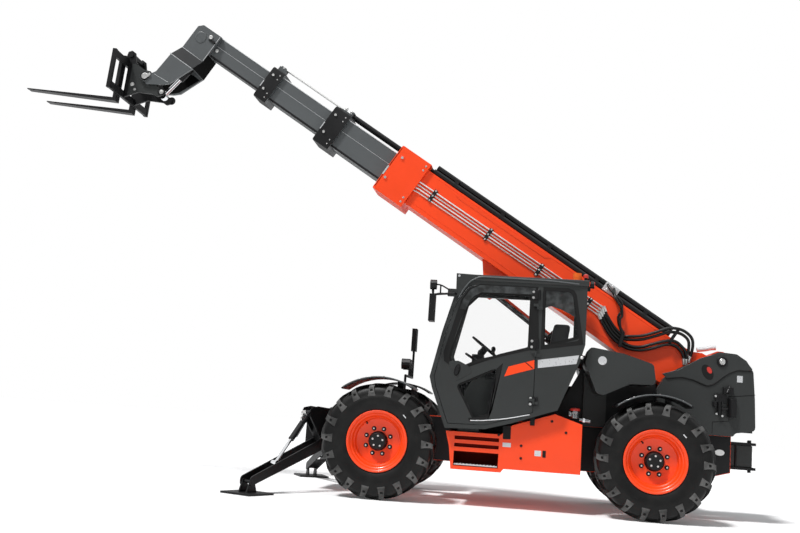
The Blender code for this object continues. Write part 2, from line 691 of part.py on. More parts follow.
# Shares of the hip's length and of the base section's height
BASE_HIP_SHARES = (
    (0.00, 0.88), (0.00, 1.16), (0.40, 1.12), (0.60, 1.00), (1.10, 1.00), (1.10, 0.00), (0.60, 0.00),
)
GUIDE_REAR = 0.62
GUIDE_FRONT = 4.08
GUIDE_Y = 0.075
GUIDE_RADIUS = 0.038
GUIDE_LIFT = 0.04
GUIDE_RISE = 0.075
GUIDE_CLAMPS = 5
GUIDE_CLAMP = 0.05
LIFT_EAR = 0.10
LIFT_EYE_WIDE = 0.07
LIFT_EAR_THICK = 0.03
LIFT_EYE = 0.075
TILT_EYE_WIDE = 0.045
TILT_EYE = 0.05
TILT_EAR = 0.07


def hollow_section(index):
    """A section's tube with the collar that guides the next section, open at both ends."""
    half = SECTION_HALF[index]
    low = -SECTION_LOW[index]
    top = -SECTION_TOP[index]
    front = SECTION_FRONT[index]
    tube = box_tube(SECTION_REAR[index], front, half, low, top, SECTION_WALL)
    if index == len(COLLAR_HALF):
        return tube
    rear = COLLAR_REAR[index]
    wide = COLLAR_HALF[index]
    collar = block((rear, -wide, -COLLAR_LOW[index]), (COLLAR_FRONT[index], wide, -COLLAR_TOP[index]))
    inner = SECTION_HALF[index + 1] + PAD_GAP
    hole = block((rear - OVERRUN, -inner, -SECTION_LOW[index + 1] - PAD_GAP),
                 (COLLAR_FRONT[index] + OVERRUN, inner, -SECTION_TOP[index + 1] + PAD_GAP))
    relief = block((rear - OVERRUN, -half + SECTION_WALL, low + SECTION_WALL),
                   (front - SECTION_WALL * 6, half - SECTION_WALL, top - SECTION_WALL))
    return cut(fuse(tube, collar), hole, relief)


def boom_base():
    half = SECTION_HALF[0]
    top = SECTION_TOP[0]
    low = SECTION_LOW[0]
    tube = hollow_section(0)
    hip_outline = spread(BASE_HIP_SHARES, (BASE_REAR, -low), (BASE_HIP, -top))
    hip = prism("Y", hip_outline, -half, half)
    boss = rod((0.0, -TOWER_INNER + WELD, 0.0), (0.0, TOWER_INNER - WELD, 0.0), PIVOT_BOSS)
    pin = rod((0.0, -TOWER_OUTER - PIN_GAP, 0.0), (0.0, TOWER_OUTER + PIN_GAP, 0.0), PIVOT_PIN)
    ears = []
    for side in (1, -1):
        ys = sorted((side * (LIFT_EYE_WIDE + WELD), side * (LIFT_EYE_WIDE + WELD + LIFT_EAR_THICK)))
        root = -low + WELD
        tip = -LIFT_EYE_DOWN - LIFT_EAR
        outline = [(LIFT_EYE_ALONG - 2 * LIFT_EAR, root), (LIFT_EYE_ALONG - LIFT_EAR, -LIFT_EYE_DOWN),
                   (LIFT_EYE_ALONG - LIFT_EAR / 2, tip), (LIFT_EYE_ALONG + LIFT_EAR / 2, tip),
                   (LIFT_EYE_ALONG + LIFT_EAR, -LIFT_EYE_DOWN), (LIFT_EYE_ALONG + 3 * LIFT_EAR, root)]
        ears.append(prism("Y", outline, ys[0], ys[1]))
    finish("boom_base", fuse(tube, hip, boss, pin, *ears), ORANGE, boom)


def guide_tubes():
    """The hose tubes on top of the base section, with the clamps that carry them."""
    seat = -SECTION_TOP[0] + SEAT_GAP
    places = ((-GUIDE_Y, seat + GUIDE_LIFT), (0.0, seat + GUIDE_LIFT + GUIDE_RISE), (GUIDE_Y, seat + GUIDE_LIFT))
    tubes = [rod((GUIDE_REAR, y, z), (GUIDE_FRONT, y, z), GUIDE_RADIUS, PIPE_STEPS) for y, z in places]
    clamps = []
    for k in range(GUIDE_CLAMPS):
        along = GUIDE_REAR + (GUIDE_FRONT - GUIDE_REAR) * (k + 0.5) / GUIDE_CLAMPS
        clamps.append(block((along, -GUIDE_Y - GUIDE_RADIUS / 2, seat),
                            (along + GUIDE_CLAMP, GUIDE_Y + GUIDE_RADIUS / 2, seat + GUIDE_LIFT + GUIDE_RISE)))
    finish("boom_guide_tubes", fuse(*tubes, *clamps), BLACK, boom, (GUIDE_REAR, 0.0, seat))


def boom_sections():
    for name, index in (("boom_section_2", 1), ("boom_section_3", 2)):
        finish(name, hollow_section(index), BOOM_GREY, boom, (COLLAR_REAR[index], 0.0, 0.0))
    outline = spread(HEAD_SHARES, (HEAD_REAR, -HEAD_LOW), (HEAD_FRONT, -HEAD_TOP))
    side = prism("Y", outline, -HEAD_WIDE - OVERRUN, HEAD_WIDE + OVERRUN)
    head = combine(side, (head_space(0.0, HEAD_REAR - HEAD_WIDE, 0.0),), "INTERSECT")
    nose = rod((TILT_PIN_ALONG, -HEAD_WIDE, -TILT_PIN_DOWN),
               (TILT_PIN_ALONG, HEAD_WIDE, -TILT_PIN_DOWN), TILT_EAR)
    mouth = block((HEAD_FRONT - HEAD_SKIN, -HEAD_WIDE + HEAD_SKIN, -HEAD_LOW - OVERRUN),
                  (TILT_PIN_ALONG + 2 * TILT_EAR, HEAD_WIDE - HEAD_SKIN, -HEAD_FLARE - HEAD_SKIN))
    hub = bore((TILT_PIN_ALONG, -HEAD_WIDE - OVERRUN, -TILT_PIN_DOWN),
               (TILT_PIN_ALONG, HEAD_WIDE + OVERRUN, -TILT_PIN_DOWN), TILT_PIN)
    ceiling = TILT_BASE_DOWN - TILT_EAR - HEAD_TOP
    head = cut(fuse(head, nose), head_space(HEAD_SKIN, HEAD_REAR + HEAD_SKIN, ceiling), mouth, hub)
    pin = rod((TILT_BASE_ALONG, -HEAD_HALF + WELD, -TILT_BASE_DOWN),
              (TILT_BASE_ALONG, HEAD_HALF - WELD, -TILT_BASE_DOWN), TILT_PIN)
    head = fuse(hollow_section(3), head, pin)
    finish("boom_section_4_head", head, BOOM_GREY, boom, (HEAD_REAR, 0.0, 0.0))


def head_space(skin, rear, drop):
    """The room inside the head's side plates, which spread below its fold."""
    levels = ((-HEAD_TOP - drop, HEAD_HALF), (-HEAD_FOLD - skin, HEAD_HALF),
              (-HEAD_FLARE - skin, HEAD_WIDE), (-HEAD_LOW - HEAD_WIDE, HEAD_WIDE))
    front = HEAD_FRONT + HEAD_WIDE
    if skin:
        front = HEAD_FRONT - skin
    return loft([[(rear, -half + skin, level), (front, -half + skin, level),
                  (front, half - skin, level), (rear, half - skin, level)] for level, half in levels])


boom_base()
guide_tubes()
boom_sections()


# Hydraulic cylinders: a barrel on its base pin and a rod that ends short of its eye's pin

def cylinder(name, base, eye, sizes, parent, look):
    """Sizes: barrel radius, rod radius, eye radius, half width of both eyes, pin radius, closed length."""
    barrel_radius, rod_radius, eye_radius, half, pin, closed = sizes
    base = Vector(base)
    eye = Vector(eye)
    along = (eye - base).normalized()
    across = Vector((0.0, 1.0, 0.0))
    tube = rod(base + along * eye_radius * 0.7, base + along * (closed - 1.6 * eye_radius), barrel_radius)
    inside = bore(base + along * 2 * eye_radius, base + along * closed * 2, rod_radius)
    lug = rod(base - across * half, base + across * half, eye_radius)
    hole = bore(base - across * 2 * half, base + across * 2 * half, pin)
    barrel = cut(fuse(tube, lug), inside, hole)
    finish(name + "_barrel", barrel, look, parent, tuple(base))
    start = base + along * (2.5 * eye_radius + (eye - base).length - closed)
    shaft = rod(start, eye - along * eye_radius * 0.5, rod_radius)
    head = rod(eye - across * half, eye + across * half, eye_radius)
    finish(name + "_rod", fuse(shaft, head), CHROME, parent, tuple(eye))


LIFT_SIZES = (0.08, 0.045, LIFT_EYE, LIFT_EYE_WIDE, LIFT_PIN, 1.99)
TILT_SIZES = (0.05, 0.028, TILT_EYE, TILT_EYE_WIDE, TILT_PIN, 0.595)


def from_boom(along, across, up):
    """Boom-frame place in the machine frame."""
    angle = math.radians(BOOM_ANGLE_DEG)
    return (PIVOT_X + along * math.cos(angle) - up * math.sin(angle), across,
            PIVOT_Z + along * math.sin(angle) + up * math.cos(angle))


cylinder("lift", (LIFT_BASE_X, 0.0, LIFT_BASE_Z), from_boom(LIFT_EYE_ALONG, 0.0, -LIFT_EYE_DOWN),
         LIFT_SIZES, machine, BLACK)
cylinder("tilt", (TILT_BASE_ALONG, 0.0, -TILT_BASE_DOWN), (TILT_EYE_ALONG, 0.0, -TILT_EYE_DOWN),
         TILT_SIZES, boom, BLACK)


# Coupler with its fork carriage, in a frame on the boom head's pin with x along the forks

FORK_TILT_DEG = 4.3
COUPLER_PLATE_IN = 0.165
COUPLER_PLATE_OUT = 0.193
CARRIAGE_BACK = 0.25
CARRIAGE_FRONT = 0.29
CARRIAGE_HALF = 0.65
CARRIAGE_LOW = -0.31
CARRIAGE_TOP = 0.19
CARRIAGE_BAR = 0.09
CARRIAGE_END = 0.05
FORK_Y = 0.27
FORK_HALF = 0.06
FORK_THICK = 0.045
FORK_LOW = -0.395
FORK_TIP = 1.51
FORK_TIP_THICK = 0.012
FORK_HOOK = 0.025
KEEPER = 0.06
KEEPER_THICK = 0.015
COUPLER_SIZE = 0.35
# Shares of the coupler's size, from the head's pin
COUPLER_SHARES = (
    (-0.76, -0.50), (-0.70, -0.64), (-0.56, -0.70), (-0.40, -0.62), (0.20, -0.60), (0.76, -0.86),
    (0.76, 0.50), (0.88, 0.72), (0.84, 0.90), (0.70, 0.96), (0.56, 0.88), (0.46, 0.50),
    (0.10, 0.27), (-0.14, 0.24), (-0.26, 0.10), (-0.36, -0.20),
)
COUPLER_TOP_PIN_SHARE = (0.71, 0.79)


def coupler():
    plates = []
    outline = [(a * COUPLER_SIZE, b * COUPLER_SIZE) for a, b in COUPLER_SHARES]
    for side in (1, -1):
        ys = sorted((side * COUPLER_PLATE_IN, side * COUPLER_PLATE_OUT))
        plates.append(prism("Y", outline, ys[0], ys[1]))
    end = HEAD_WIDE + SEAT_GAP
    pin = rod((0.0, -end - KEEPER_THICK, 0.0), (0.0, end + KEEPER_THICK, 0.0), TILT_PIN)
    keepers = [rod((0.0, side * end, 0.0), (0.0, side * (end + KEEPER_THICK), 0.0), KEEPER)
               for side in (1, -1)]
    top_x, top_z = (share * COUPLER_SIZE for share in COUPLER_TOP_PIN_SHARE)
    top_pin = rod((top_x, -COUPLER_PLATE_OUT - KEEPER_THICK, top_z),
                  (top_x, COUPLER_PLATE_OUT + KEEPER_THICK, top_z), TILT_PIN)
    bars = [block((CARRIAGE_BACK, -CARRIAGE_HALF, z), (CARRIAGE_FRONT, CARRIAGE_HALF, z + CARRIAGE_BAR))
            for z in (CARRIAGE_LOW, CARRIAGE_TOP - CARRIAGE_BAR)]
    for side in (1, -1):
        ys = sorted((side * (CARRIAGE_HALF - CARRIAGE_END), side * CARRIAGE_HALF))
        bars.append(block((CARRIAGE_BACK - WELD, ys[0], CARRIAGE_LOW - WELD),
                          (CARRIAGE_FRONT + WELD, ys[1], CARRIAGE_TOP + WELD)))
    finish("coupler_carriage", fuse(*plates, pin, *keepers, top_pin, *bars), BLACK, coupler_pin)


def fork(name, side):
    face = CARRIAGE_FRONT + SEAT_GAP
    top = CARRIAGE_TOP + SEAT_GAP
    bed = FORK_LOW + FORK_THICK
    outline = [(face, FORK_LOW), (FORK_TIP, bed - FORK_TIP_THICK), (FORK_TIP, bed),
               (face + FORK_THICK, bed), (face + FORK_THICK, top + FORK_HOOK),
               (CARRIAGE_BACK, top + FORK_HOOK), (CARRIAGE_BACK, top), (face, top)]
    shape = prism("Y", outline, side * FORK_Y - FORK_HALF, side * FORK_Y + FORK_HALF)
    finish(name, shape, BLACK, coupler_pin, (face, side * FORK_Y, FORK_LOW))


coupler_pin = empty("coupler_pin", machine, from_boom(TILT_PIN_ALONG, 0.0, -TILT_PIN_DOWN),
                    -math.radians(FORK_TILT_DEG))
coupler()
for name, side in (("fork_left", 1), ("fork_right", -1)):
    fork(name, side)


# Stabilisers: a front frame, and on each side a leg in a splayed vertical plane

STAB_FRAME_DEEP = 0.37
STAB_FRAME_FRONT = FRAME_FRONT + STAB_FRAME_DEEP
STAB_FRAME_HALF = 0.40
STAB_FRAME_LOW = 0.47
STAB_FRAME_TOP = 0.93
STAB_PIVOT_OUT = 0.16
STAB_PIVOT_X = FRAME_FRONT + STAB_PIVOT_OUT
STAB_PIVOT_Y = 0.50
STAB_PIVOT_Z = 0.58
STAB_SPLAY_DEG = 65.0
STAB_PIN = 0.03
STAB_REACH = 1.24
ANKLE_Z = 0.13
STAB_LEG_IN = 0.06
STAB_LEG_SKIN = 0.014
STAB_LEG_DEEP = 0.07
STAB_LEG_TIP_DEEP = 0.05
STAB_RAM_TOP_ALONG = 0.28
STAB_RAM_TOP_Z = 0.88
STAB_RAM_FOOT_ALONG = 0.82
STAB_RAM_FOOT_LIFT = 0.035
STAB_BRACKET_IN = 0.037
STAB_BRACKET_OUT = 0.052
PAD_HALF = 0.20
PAD_THICK = 0.022
PAD_EAR = 0.055
PAD_EAR_THICK = 0.016
STAB_SIZES = (0.034, 0.018, 0.034, 0.033, 0.018, 0.47)


def stabiliser_frame():
    beam = block((FRAME_FRONT + SEAT_GAP, -STAB_FRAME_HALF, STAB_FRAME_LOW),
                 (STAB_FRAME_FRONT, STAB_FRAME_HALF, STAB_FRAME_TOP))
    parts = [beam]
    for side in (1, -1):
        spot = Matrix.Translation((STAB_PIVOT_X, side * STAB_PIVOT_Y, 0.0)) \
            @ Matrix.Rotation(side * math.radians(STAB_SPLAY_DEG), 4, "Z")
        ram = STAB_SIZES[2]
        outline = [(-STAB_PIVOT_Y / 2, STAB_FRAME_LOW), (0.0, STAB_PIVOT_Z - 2 * STAB_PIN),
                   (2 * STAB_PIN, STAB_PIVOT_Z), (STAB_RAM_TOP_ALONG + ram, STAB_RAM_TOP_Z - ram),
                   (STAB_RAM_TOP_ALONG + ram, STAB_RAM_TOP_Z + ram), (0.0, STAB_FRAME_TOP),
                   (-STAB_PIVOT_Y / 2, STAB_FRAME_TOP)]
        bracket = prism("Y", outline, -STAB_BRACKET_OUT, STAB_BRACKET_OUT)
        slot = block((STAB_RAM_TOP_ALONG - 4 * ram, -STAB_BRACKET_IN, STAB_FRAME_LOW - OVERRUN),
                     (STAB_RAM_TOP_ALONG + 3 * ram, STAB_BRACKET_IN, STAB_FRAME_TOP + ram))
        bracket = cut(bracket, slot)
        pivot = rod((0.0, -STAB_LEG_IN - STAB_LEG_SKIN, STAB_PIVOT_Z),
                    (0.0, STAB_LEG_IN + STAB_LEG_SKIN, STAB_PIVOT_Z), STAB_PIN)
        ram_pin = rod((STAB_RAM_TOP_ALONG, -STAB_BRACKET_IN - WELD, STAB_RAM_TOP_Z),
                      (STAB_RAM_TOP_ALONG, STAB_BRACKET_IN + WELD, STAB_RAM_TOP_Z), STAB_SIZES[4])
        for shape in (bracket, pivot, ram_pin):
            shape.data.transform(spot)
            parts.append(shape)
    finish("stabiliser_frame", fuse(*parts), BLACK, machine, (FRAME_FRONT, 0.0, STAB_FRAME_LOW))


def stabiliser(name, side):
    frame = empty("stabiliser_plane_" + name, machine, (STAB_PIVOT_X, side * STAB_PIVOT_Y, 0.0))
    frame.rotation_euler = (0.0, 0.0, side * math.radians(STAB_SPLAY_DEG))
    tip = STAB_REACH + STAB_LEG_TIP_DEEP
    root_top = STAB_PIVOT_Z + STAB_LEG_DEEP
    root_low = STAB_PIVOT_Z - STAB_LEG_DEEP
    tip_top = ANKLE_Z + STAB_LEG_TIP_DEEP
    tip_low = ANKLE_Z - STAB_LEG_TIP_DEEP
    outline = [(-STAB_LEG_DEEP, root_top), (tip, tip_top), (tip, tip_low), (-STAB_LEG_DEEP, root_low)]
    wide = STAB_LEG_IN + STAB_LEG_SKIN
    leg = prism("Y", rounded(outline, STAB_LEG_TIP_DEEP), -wide, wide)
    slope = (root_low - tip_low) / (tip + STAB_LEG_DEEP)
    channel = [(-2 * STAB_LEG_DEEP, root_top + OVERRUN), (tip + OVERRUN, tip_top + OVERRUN),
               (tip + OVERRUN, tip_low - slope * OVERRUN + STAB_LEG_SKIN),
               (-2 * STAB_LEG_DEEP, root_low + slope * STAB_LEG_DEEP + STAB_LEG_SKIN)]
    hollow = prism("Y", channel, -STAB_LEG_IN, STAB_LEG_IN)
    heel = block((-2 * STAB_LEG_DEEP, -STAB_LEG_IN, ANKLE_Z),
                 (STAB_RAM_FOOT_ALONG - 2 * STAB_SIZES[2], STAB_LEG_IN, STAB_PIVOT_Z + 2 * STAB_LEG_DEEP))
    toe = block((STAB_REACH - 1.5 * STAB_LEG_TIP_DEEP, -STAB_LEG_IN, 0.0),
                (STAB_REACH + 3 * STAB_LEG_TIP_DEEP, STAB_LEG_IN, ANKLE_Z + 2 * STAB_LEG_DEEP))
    hub = bore((0.0, -2 * wide, STAB_PIVOT_Z), (0.0, 2 * wide, STAB_PIVOT_Z), STAB_PIN)
    leg = cut(leg, hollow, heel, toe, hub)
    share = STAB_RAM_FOOT_ALONG / STAB_REACH
    foot_z = STAB_PIVOT_Z + (ANKLE_Z - STAB_PIVOT_Z) * share + STAB_RAM_FOOT_LIFT
    ankle = rod((STAB_REACH, -wide + WELD, ANKLE_Z), (STAB_REACH, wide - WELD, ANKLE_Z), STAB_SIZES[4])
    leg = fuse(leg, ankle)
    finish("stabiliser_leg_" + name, leg, BLACK, frame, (0.0, 0.0, STAB_PIVOT_Z))
    plate = block((STAB_REACH - PAD_HALF, -PAD_HALF, 0.0), (STAB_REACH + PAD_HALF, PAD_HALF, PAD_THICK))
    ears = []
    for face in (1, -1):
        ys = sorted((face * (STAB_LEG_IN - SEAT_GAP), face * (STAB_LEG_IN - SEAT_GAP - PAD_EAR_THICK)))
        crown = ANKLE_Z + PAD_EAR / 2
        foot = PAD_THICK - WELD
        shape = [(STAB_REACH - PAD_EAR * 1.5, foot), (STAB_REACH - PAD_EAR / 2, crown),
                 (STAB_REACH + PAD_EAR / 2, crown), (STAB_REACH + PAD_EAR * 1.5, foot)]
        ears.append(prism("Y", shape, ys[0], ys[1]))
    hole = bore((STAB_REACH, -wide, ANKLE_Z), (STAB_REACH, wide, ANKLE_Z), STAB_SIZES[4])
    pad = cut(fuse(plate, *ears), hole)
    finish("stabiliser_pad_" + name, pad, BLACK, frame, (STAB_REACH, 0.0, ANKLE_Z))
    cylinder("stabiliser_" + name, (STAB_RAM_TOP_ALONG, 0.0, STAB_RAM_TOP_Z),
             (STAB_RAM_FOOT_ALONG, 0.0, foot_z), STAB_SIZES, frame, BLACK)


stabiliser_frame()
for name, side in (("left", 1), ("right", -1)):
    stabiliser(name, side)


# Cab

# Shares of the cab's length and height, front at one
CAB_SHARES = (
    (0.00, 1.00), (0.00, 0.61), (0.03, 0.49), (0.16, 0.165), (0.30, 0.115), (0.45, 0.06), (0.62, 0.01),
    (0.88, 0.00), (0.98, 0.26), (1.00, 0.335), (0.935, 0.645), (0.87, 0.89), (0.845, 0.957), (0.80, 1.00),
)
CAB_REAR_SLOPE_SHARES = (CAB_SHARES[3], CAB_SHARES[2])
DOOR_SHARES = (
    (0.315, 0.97), (0.315, 0.14), (0.46, 0.085), (0.63, 0.035), (0.865, 0.03),
    (0.955, 0.265), (0.972, 0.335), (0.91, 0.64), (0.848, 0.86), (0.79, 0.94), (0.76, 0.97),
)
DOOR_WINDOW_SHARES = (
    (0.355, 0.93), (0.355, 0.56), (0.545, 0.50), (0.845, 0.375), (0.885, 0.47), (0.785, 0.83), (0.69, 0.93),
)
DOOR_LOW_GLASS_SHARES = ((0.55, 0.43), (0.595, 0.10), (0.70, 0.065), (0.825, 0.29))
QUARTER_SHARES = ((0.08, 0.99), (0.03, 0.65), (0.28, 0.565), (0.29, 0.99))
QUARTER_TOP = 0.03
RIGHT_WINDOW_SHARES = ((0.06, 0.94), (0.06, 0.50), (0.84, 0.40), (0.88, 0.50), (0.79, 0.90), (0.76, 0.94))
SCREEN_LOW = 1.40
SCREEN_TOP = 2.34
SCREEN_SIDE = 0.07
REAR_WINDOW_LOW = 1.88
REAR_WINDOW_TOP = 2.36
CORNER = 0.05
CAB_MOUNT_LENGTH = 0.24
CAB_MOUNT_SETBACK = 0.12
CAB_MOUNT_FRONT = SKIRT_FRONT - CAB_MOUNT_SETBACK
CAB_MOUNT_REAR = CAB_MOUNT_FRONT - CAB_MOUNT_LENGTH
CAB_MOUNT_INNER = 0.50
CAB_MOUNT_OUTER = 0.90
HINGE_X = CAB_REAR + DOOR_SHARES[0][0] * (CAB_FRONT - CAB_REAR)
HINGE_OUT = 0.018
HINGE_BARREL = 0.013
HINGE_LEAF = 0.05
HINGE_HALF = 0.03
HINGE_LEVELS = (1.18, 1.70, 2.22)
ROOF_LENGTH_SHARES = (-0.01, 0.86)
CAB_SIZE_LOW = (CAB_REAR, CAB_LOW)
CAB_SIZE_HIGH = (CAB_FRONT, CAB_TOP)


def cab_outline(shares=CAB_SHARES):
    return spread(shares, CAB_SIZE_LOW, CAB_SIZE_HIGH)


def cab_lining(distance):
    """The cab's inside, at a distance from its outer faces."""
    return prism("Y", inset(cab_outline(), distance), CAB_INNER_Y + distance, CAB_OUTER_Y - distance)


def skin_slab(low, high):
    """Glass following the cab's outline between two corners of a box."""
    slab = cut(prism("Y", inset(cab_outline(), GLASS_RECESS), low[1], high[1]),
               prism("Y", inset(cab_outline(), GLASS_RECESS + GLASS), low[1] - OVERRUN, high[1] + OVERRUN))
    return combine(slab, [block(low, high)], "INTERSECT")


def side_window(shares, face, side):
    """An opening's cutter and its pane, in a wall whose outer face is at a y value."""
    outline = rounded(cab_outline(shares), CORNER)
    ys = sorted((face + side * OVERRUN, face - side * (CAB_WALL + OVERRUN)))
    panes = sorted((face - side * GLASS_RECESS, face - side * (GLASS_RECESS + GLASS)))
    return (prism("Y", outline, ys[0], ys[1]),
            prism("Y", inset(outline, SEAT_GAP), panes[0], panes[1]))


def cab():
    shell = cut(prism("Y", cab_outline(), CAB_INNER_Y, CAB_OUTER_Y), cab_lining(CAB_WALL))
    mount = block((CAB_MOUNT_REAR, CAB_MOUNT_INNER, SKIRT_DECK + SEAT_GAP),
                  (CAB_MOUNT_FRONT, CAB_MOUNT_OUTER, CAB_LOW + CAB_WALL / 2))
    shell = fuse(shell, mount)
    middle = (CAB_INNER_Y + CAB_OUTER_Y) / 2
    front = ((CAB_FRONT - CORNER * 7, CAB_INNER_Y + SCREEN_SIDE, SCREEN_LOW),
             (CAB_FRONT + OVERRUN, CAB_OUTER_Y - SCREEN_SIDE, SCREEN_TOP))
    rear = ((CAB_REAR - OVERRUN, CAB_INNER_Y + SCREEN_SIDE, REAR_WINDOW_LOW),
            (CAB_REAR + CAB_WALL + OVERRUN, CAB_OUTER_Y - SCREEN_SIDE, REAR_WINDOW_TOP))
    cutters = []
    panes = []
    for name, (low, high) in (("windscreen", front), ("rear_window", rear)):
        cutters.append(block(low, high))
        gap = Vector((0.0, SEAT_GAP, SEAT_GAP))
        panes.append((name, skin_slab(tuple(Vector(low) + gap), tuple(Vector(high) - gap))))
    opening, pane = side_window(RIGHT_WINDOW_SHARES, CAB_INNER_Y, -1)
    cutters.append(opening)
    panes.append(("right_window", pane))
    quarter = [(a, min(b, 1.0 - QUARTER_TOP)) for a, b in QUARTER_SHARES]
    opening, pane = side_window(quarter, CAB_OUTER_Y, 1)
    cutters.append(opening)
    panes.append(("quarter_window", pane))
    doorway = prism("Y", cab_outline(DOOR_SHARES), CAB_OUTER_Y - CAB_WALL - OVERRUN, CAB_OUTER_Y + OVERRUN)
    shell = cut(shell, *cutters, doorway)
    leaves = [hinge_half(level, -1) for level in HINGE_LEVELS]
    finish("cab_shell", fuse(shell, *leaves), GREY, machine, (CAB_REAR, middle, CAB_LOW))
    for name, pane in panes:
        finish(name, pane, GLASS_LOOK, machine, (CAB_REAR, middle, CAB_LOW))
    xs = [CAB_REAR + share * (CAB_FRONT - CAB_REAR) for share in ROOF_LENGTH_SHARES]
    low = CAB_TOP + SEAT_GAP
    inner = CAB_INNER_Y - ROOF_LIP / 2
    outer = CAB_OUTER_Y + ROOF_LIP
    section = rounded([(inner, low), (outer, low), (outer, low + ROOF_THICK), (inner, low + ROOF_THICK)],
                      ROOF_LIP)
    finish("cab_roof", prism("X", section, xs[0], xs[1]), GREY, machine, (xs[0], middle, low))


def hinge_half(level, side):
    """Lower half on the shell, upper half on the door, meeting at the level."""
    y = CAB_OUTER_Y + HINGE_OUT
    low, high = sorted((level + side * SEAT_GAP / 2, level + side * HINGE_HALF))
    barrel = rod((HINGE_X, y, low), (HINGE_X, y, high), HINGE_BARREL)
    leaf_x = sorted((HINGE_X + side * DOOR_GAP, HINGE_X + side * HINGE_LEAF))
    leaf = block((leaf_x[0], CAB_OUTER_Y - WELD, low), (leaf_x[1], y + WELD, high))
    tie = block((min(HINGE_X, leaf_x[0]), y - WELD, low), (max(HINGE_X, leaf_x[1]), y + WELD, high))
    return fuse(leaf, tie, barrel)


def cab_door():
    inner = CAB_OUTER_Y - CAB_WALL
    body = prism("Y", inset(cab_outline(DOOR_SHARES), DOOR_GAP), inner, CAB_OUTER_Y)
    panes = []
    for name, shares in (("door_window", DOOR_WINDOW_SHARES), ("door_low_glass", DOOR_LOW_GLASS_SHARES)):
        opening, pane = side_window(shares, CAB_OUTER_Y, 1)
        body = cut(body, opening)
        panes.append((name, pane))
    hinge_line = (HINGE_X, CAB_OUTER_Y + HINGE_OUT, CAB_LOW)
    leaves = [hinge_half(level, 1) for level in HINGE_LEVELS]
    finish("cab_door", fuse(body, *leaves), GREY, machine, hinge_line)
    for name, pane in panes:
        finish(name, pane, GLASS_LOOK, machine, hinge_line)


SEAT_SPACE = 0.04
SEAT_Y = 0.72
SEAT_HALF = 0.24
SEAT_DEEP = 0.48
SEAT_Z = 1.40
SEAT_PAD = 0.12
SEAT_BACK_TOP = 2.05
SEAT_RECLINE = 0.10
PEDESTAL_HALF = 0.16
CONSOLE_SETBACK = 0.36
CONSOLE_X = CAB_FRONT - CONSOLE_SETBACK
CONSOLE_DEEP = 0.20
CONSOLE_HALF = 0.16
CONSOLE_TOP = 1.38
COLUMN_RADIUS = 0.03
STEERING_SETBACK = 0.53
STEERING_X = CAB_FRONT - STEERING_SETBACK
STEERING_Z = 1.58
STEERING_RADIUS = 0.19
STEERING_RIM = 0.014
STEERING_LEAN_DEG = 30
STEERING_SPOKES = 3


def cab_rear_at(z):
    """Where the cab's sloping rear face stands at a level between two of its outline's points."""
    low, high = cab_outline(CAB_REAR_SLOPE_SHARES)
    return low[0] + (high[0] - low[0]) * (z - low[1]) / (high[1] - low[1])


SEAT_X = cab_rear_at(SEAT_Z - SEAT_PAD / 2) + CAB_WALL + SEAT_SPACE + SEAT_PAD


def seat_and_console():
    inner = CAB_WALL + SEAT_GAP
    back_x = SEAT_X - SEAT_PAD
    side = [(SEAT_X, SEAT_Z - SEAT_PAD), (SEAT_X + SEAT_DEEP, SEAT_Z - SEAT_PAD),
            (SEAT_X + SEAT_DEEP, SEAT_Z),
            (SEAT_X + SEAT_PAD / 2, SEAT_Z), (SEAT_X + SEAT_PAD / 2 - SEAT_RECLINE, SEAT_BACK_TOP),
            (back_x - SEAT_RECLINE, SEAT_BACK_TOP), (back_x, SEAT_Z - SEAT_PAD / 2)]
    cushion = prism("Y", rounded(side, SEAT_PAD / 3), SEAT_Y - SEAT_HALF, SEAT_Y + SEAT_HALF)
    pedestal = block((SEAT_X, SEAT_Y - PEDESTAL_HALF, CAB_LOW),
                     (SEAT_X + SEAT_DEEP * 0.8, SEAT_Y + PEDESTAL_HALF, SEAT_Z - SEAT_PAD / 2))
    pedestal = combine(pedestal, [cab_lining(inner)], "INTERSECT")
    finish("seat", fuse(cushion, pedestal), PLASTIC, machine, (SEAT_X, SEAT_Y, SEAT_Z))
    box = block((CONSOLE_X, SEAT_Y - CONSOLE_HALF, CAB_LOW),
                (CONSOLE_X + CONSOLE_DEEP, SEAT_Y + CONSOLE_HALF, CONSOLE_TOP))
    box = combine(box, [cab_lining(inner)], "INTERSECT")
    lean = math.radians(STEERING_LEAN_DEG)
    along = Vector((-math.sin(lean), 0.0, math.cos(lean)))
    centre = Vector((STEERING_X, SEAT_Y, STEERING_Z))
    foot = centre - along * (STEERING_Z - CONSOLE_TOP + CONSOLE_DEEP / 2) / math.cos(lean)
    column = rod(foot, centre, COLUMN_RADIUS)
    turn = Vector((0.0, 0.0, 1.0)).rotation_difference(along)
    loops = []
    for k in range(ROUND_STEPS):
        angle = 2 * math.pi * k / ROUND_STEPS
        out = turn @ Vector((math.cos(angle), math.sin(angle), 0.0))
        loop = []
        for m in range(BAR_STEPS):
            round_bar = 2 * math.pi * m / BAR_STEPS
            reach = STEERING_RADIUS + STEERING_RIM * math.cos(round_bar)
            loop.append(centre + out * reach + along * STEERING_RIM * math.sin(round_bar))
        loops.append(loop)
    rim = loft(loops, closed=True)
    spokes = []
    for k in range(STEERING_SPOKES):
        angle = 2 * math.pi * k / STEERING_SPOKES
        end = centre + turn @ Vector((math.cos(angle), math.sin(angle), 0.0)) * STEERING_RADIUS
        spokes.append(rod(centre - along * STEERING_RIM, end, STEERING_RIM * 0.8, BAR_STEPS))
    finish("console_steering_wheel", fuse(box, column, rim, *spokes), PLASTIC, machine, tuple(centre))


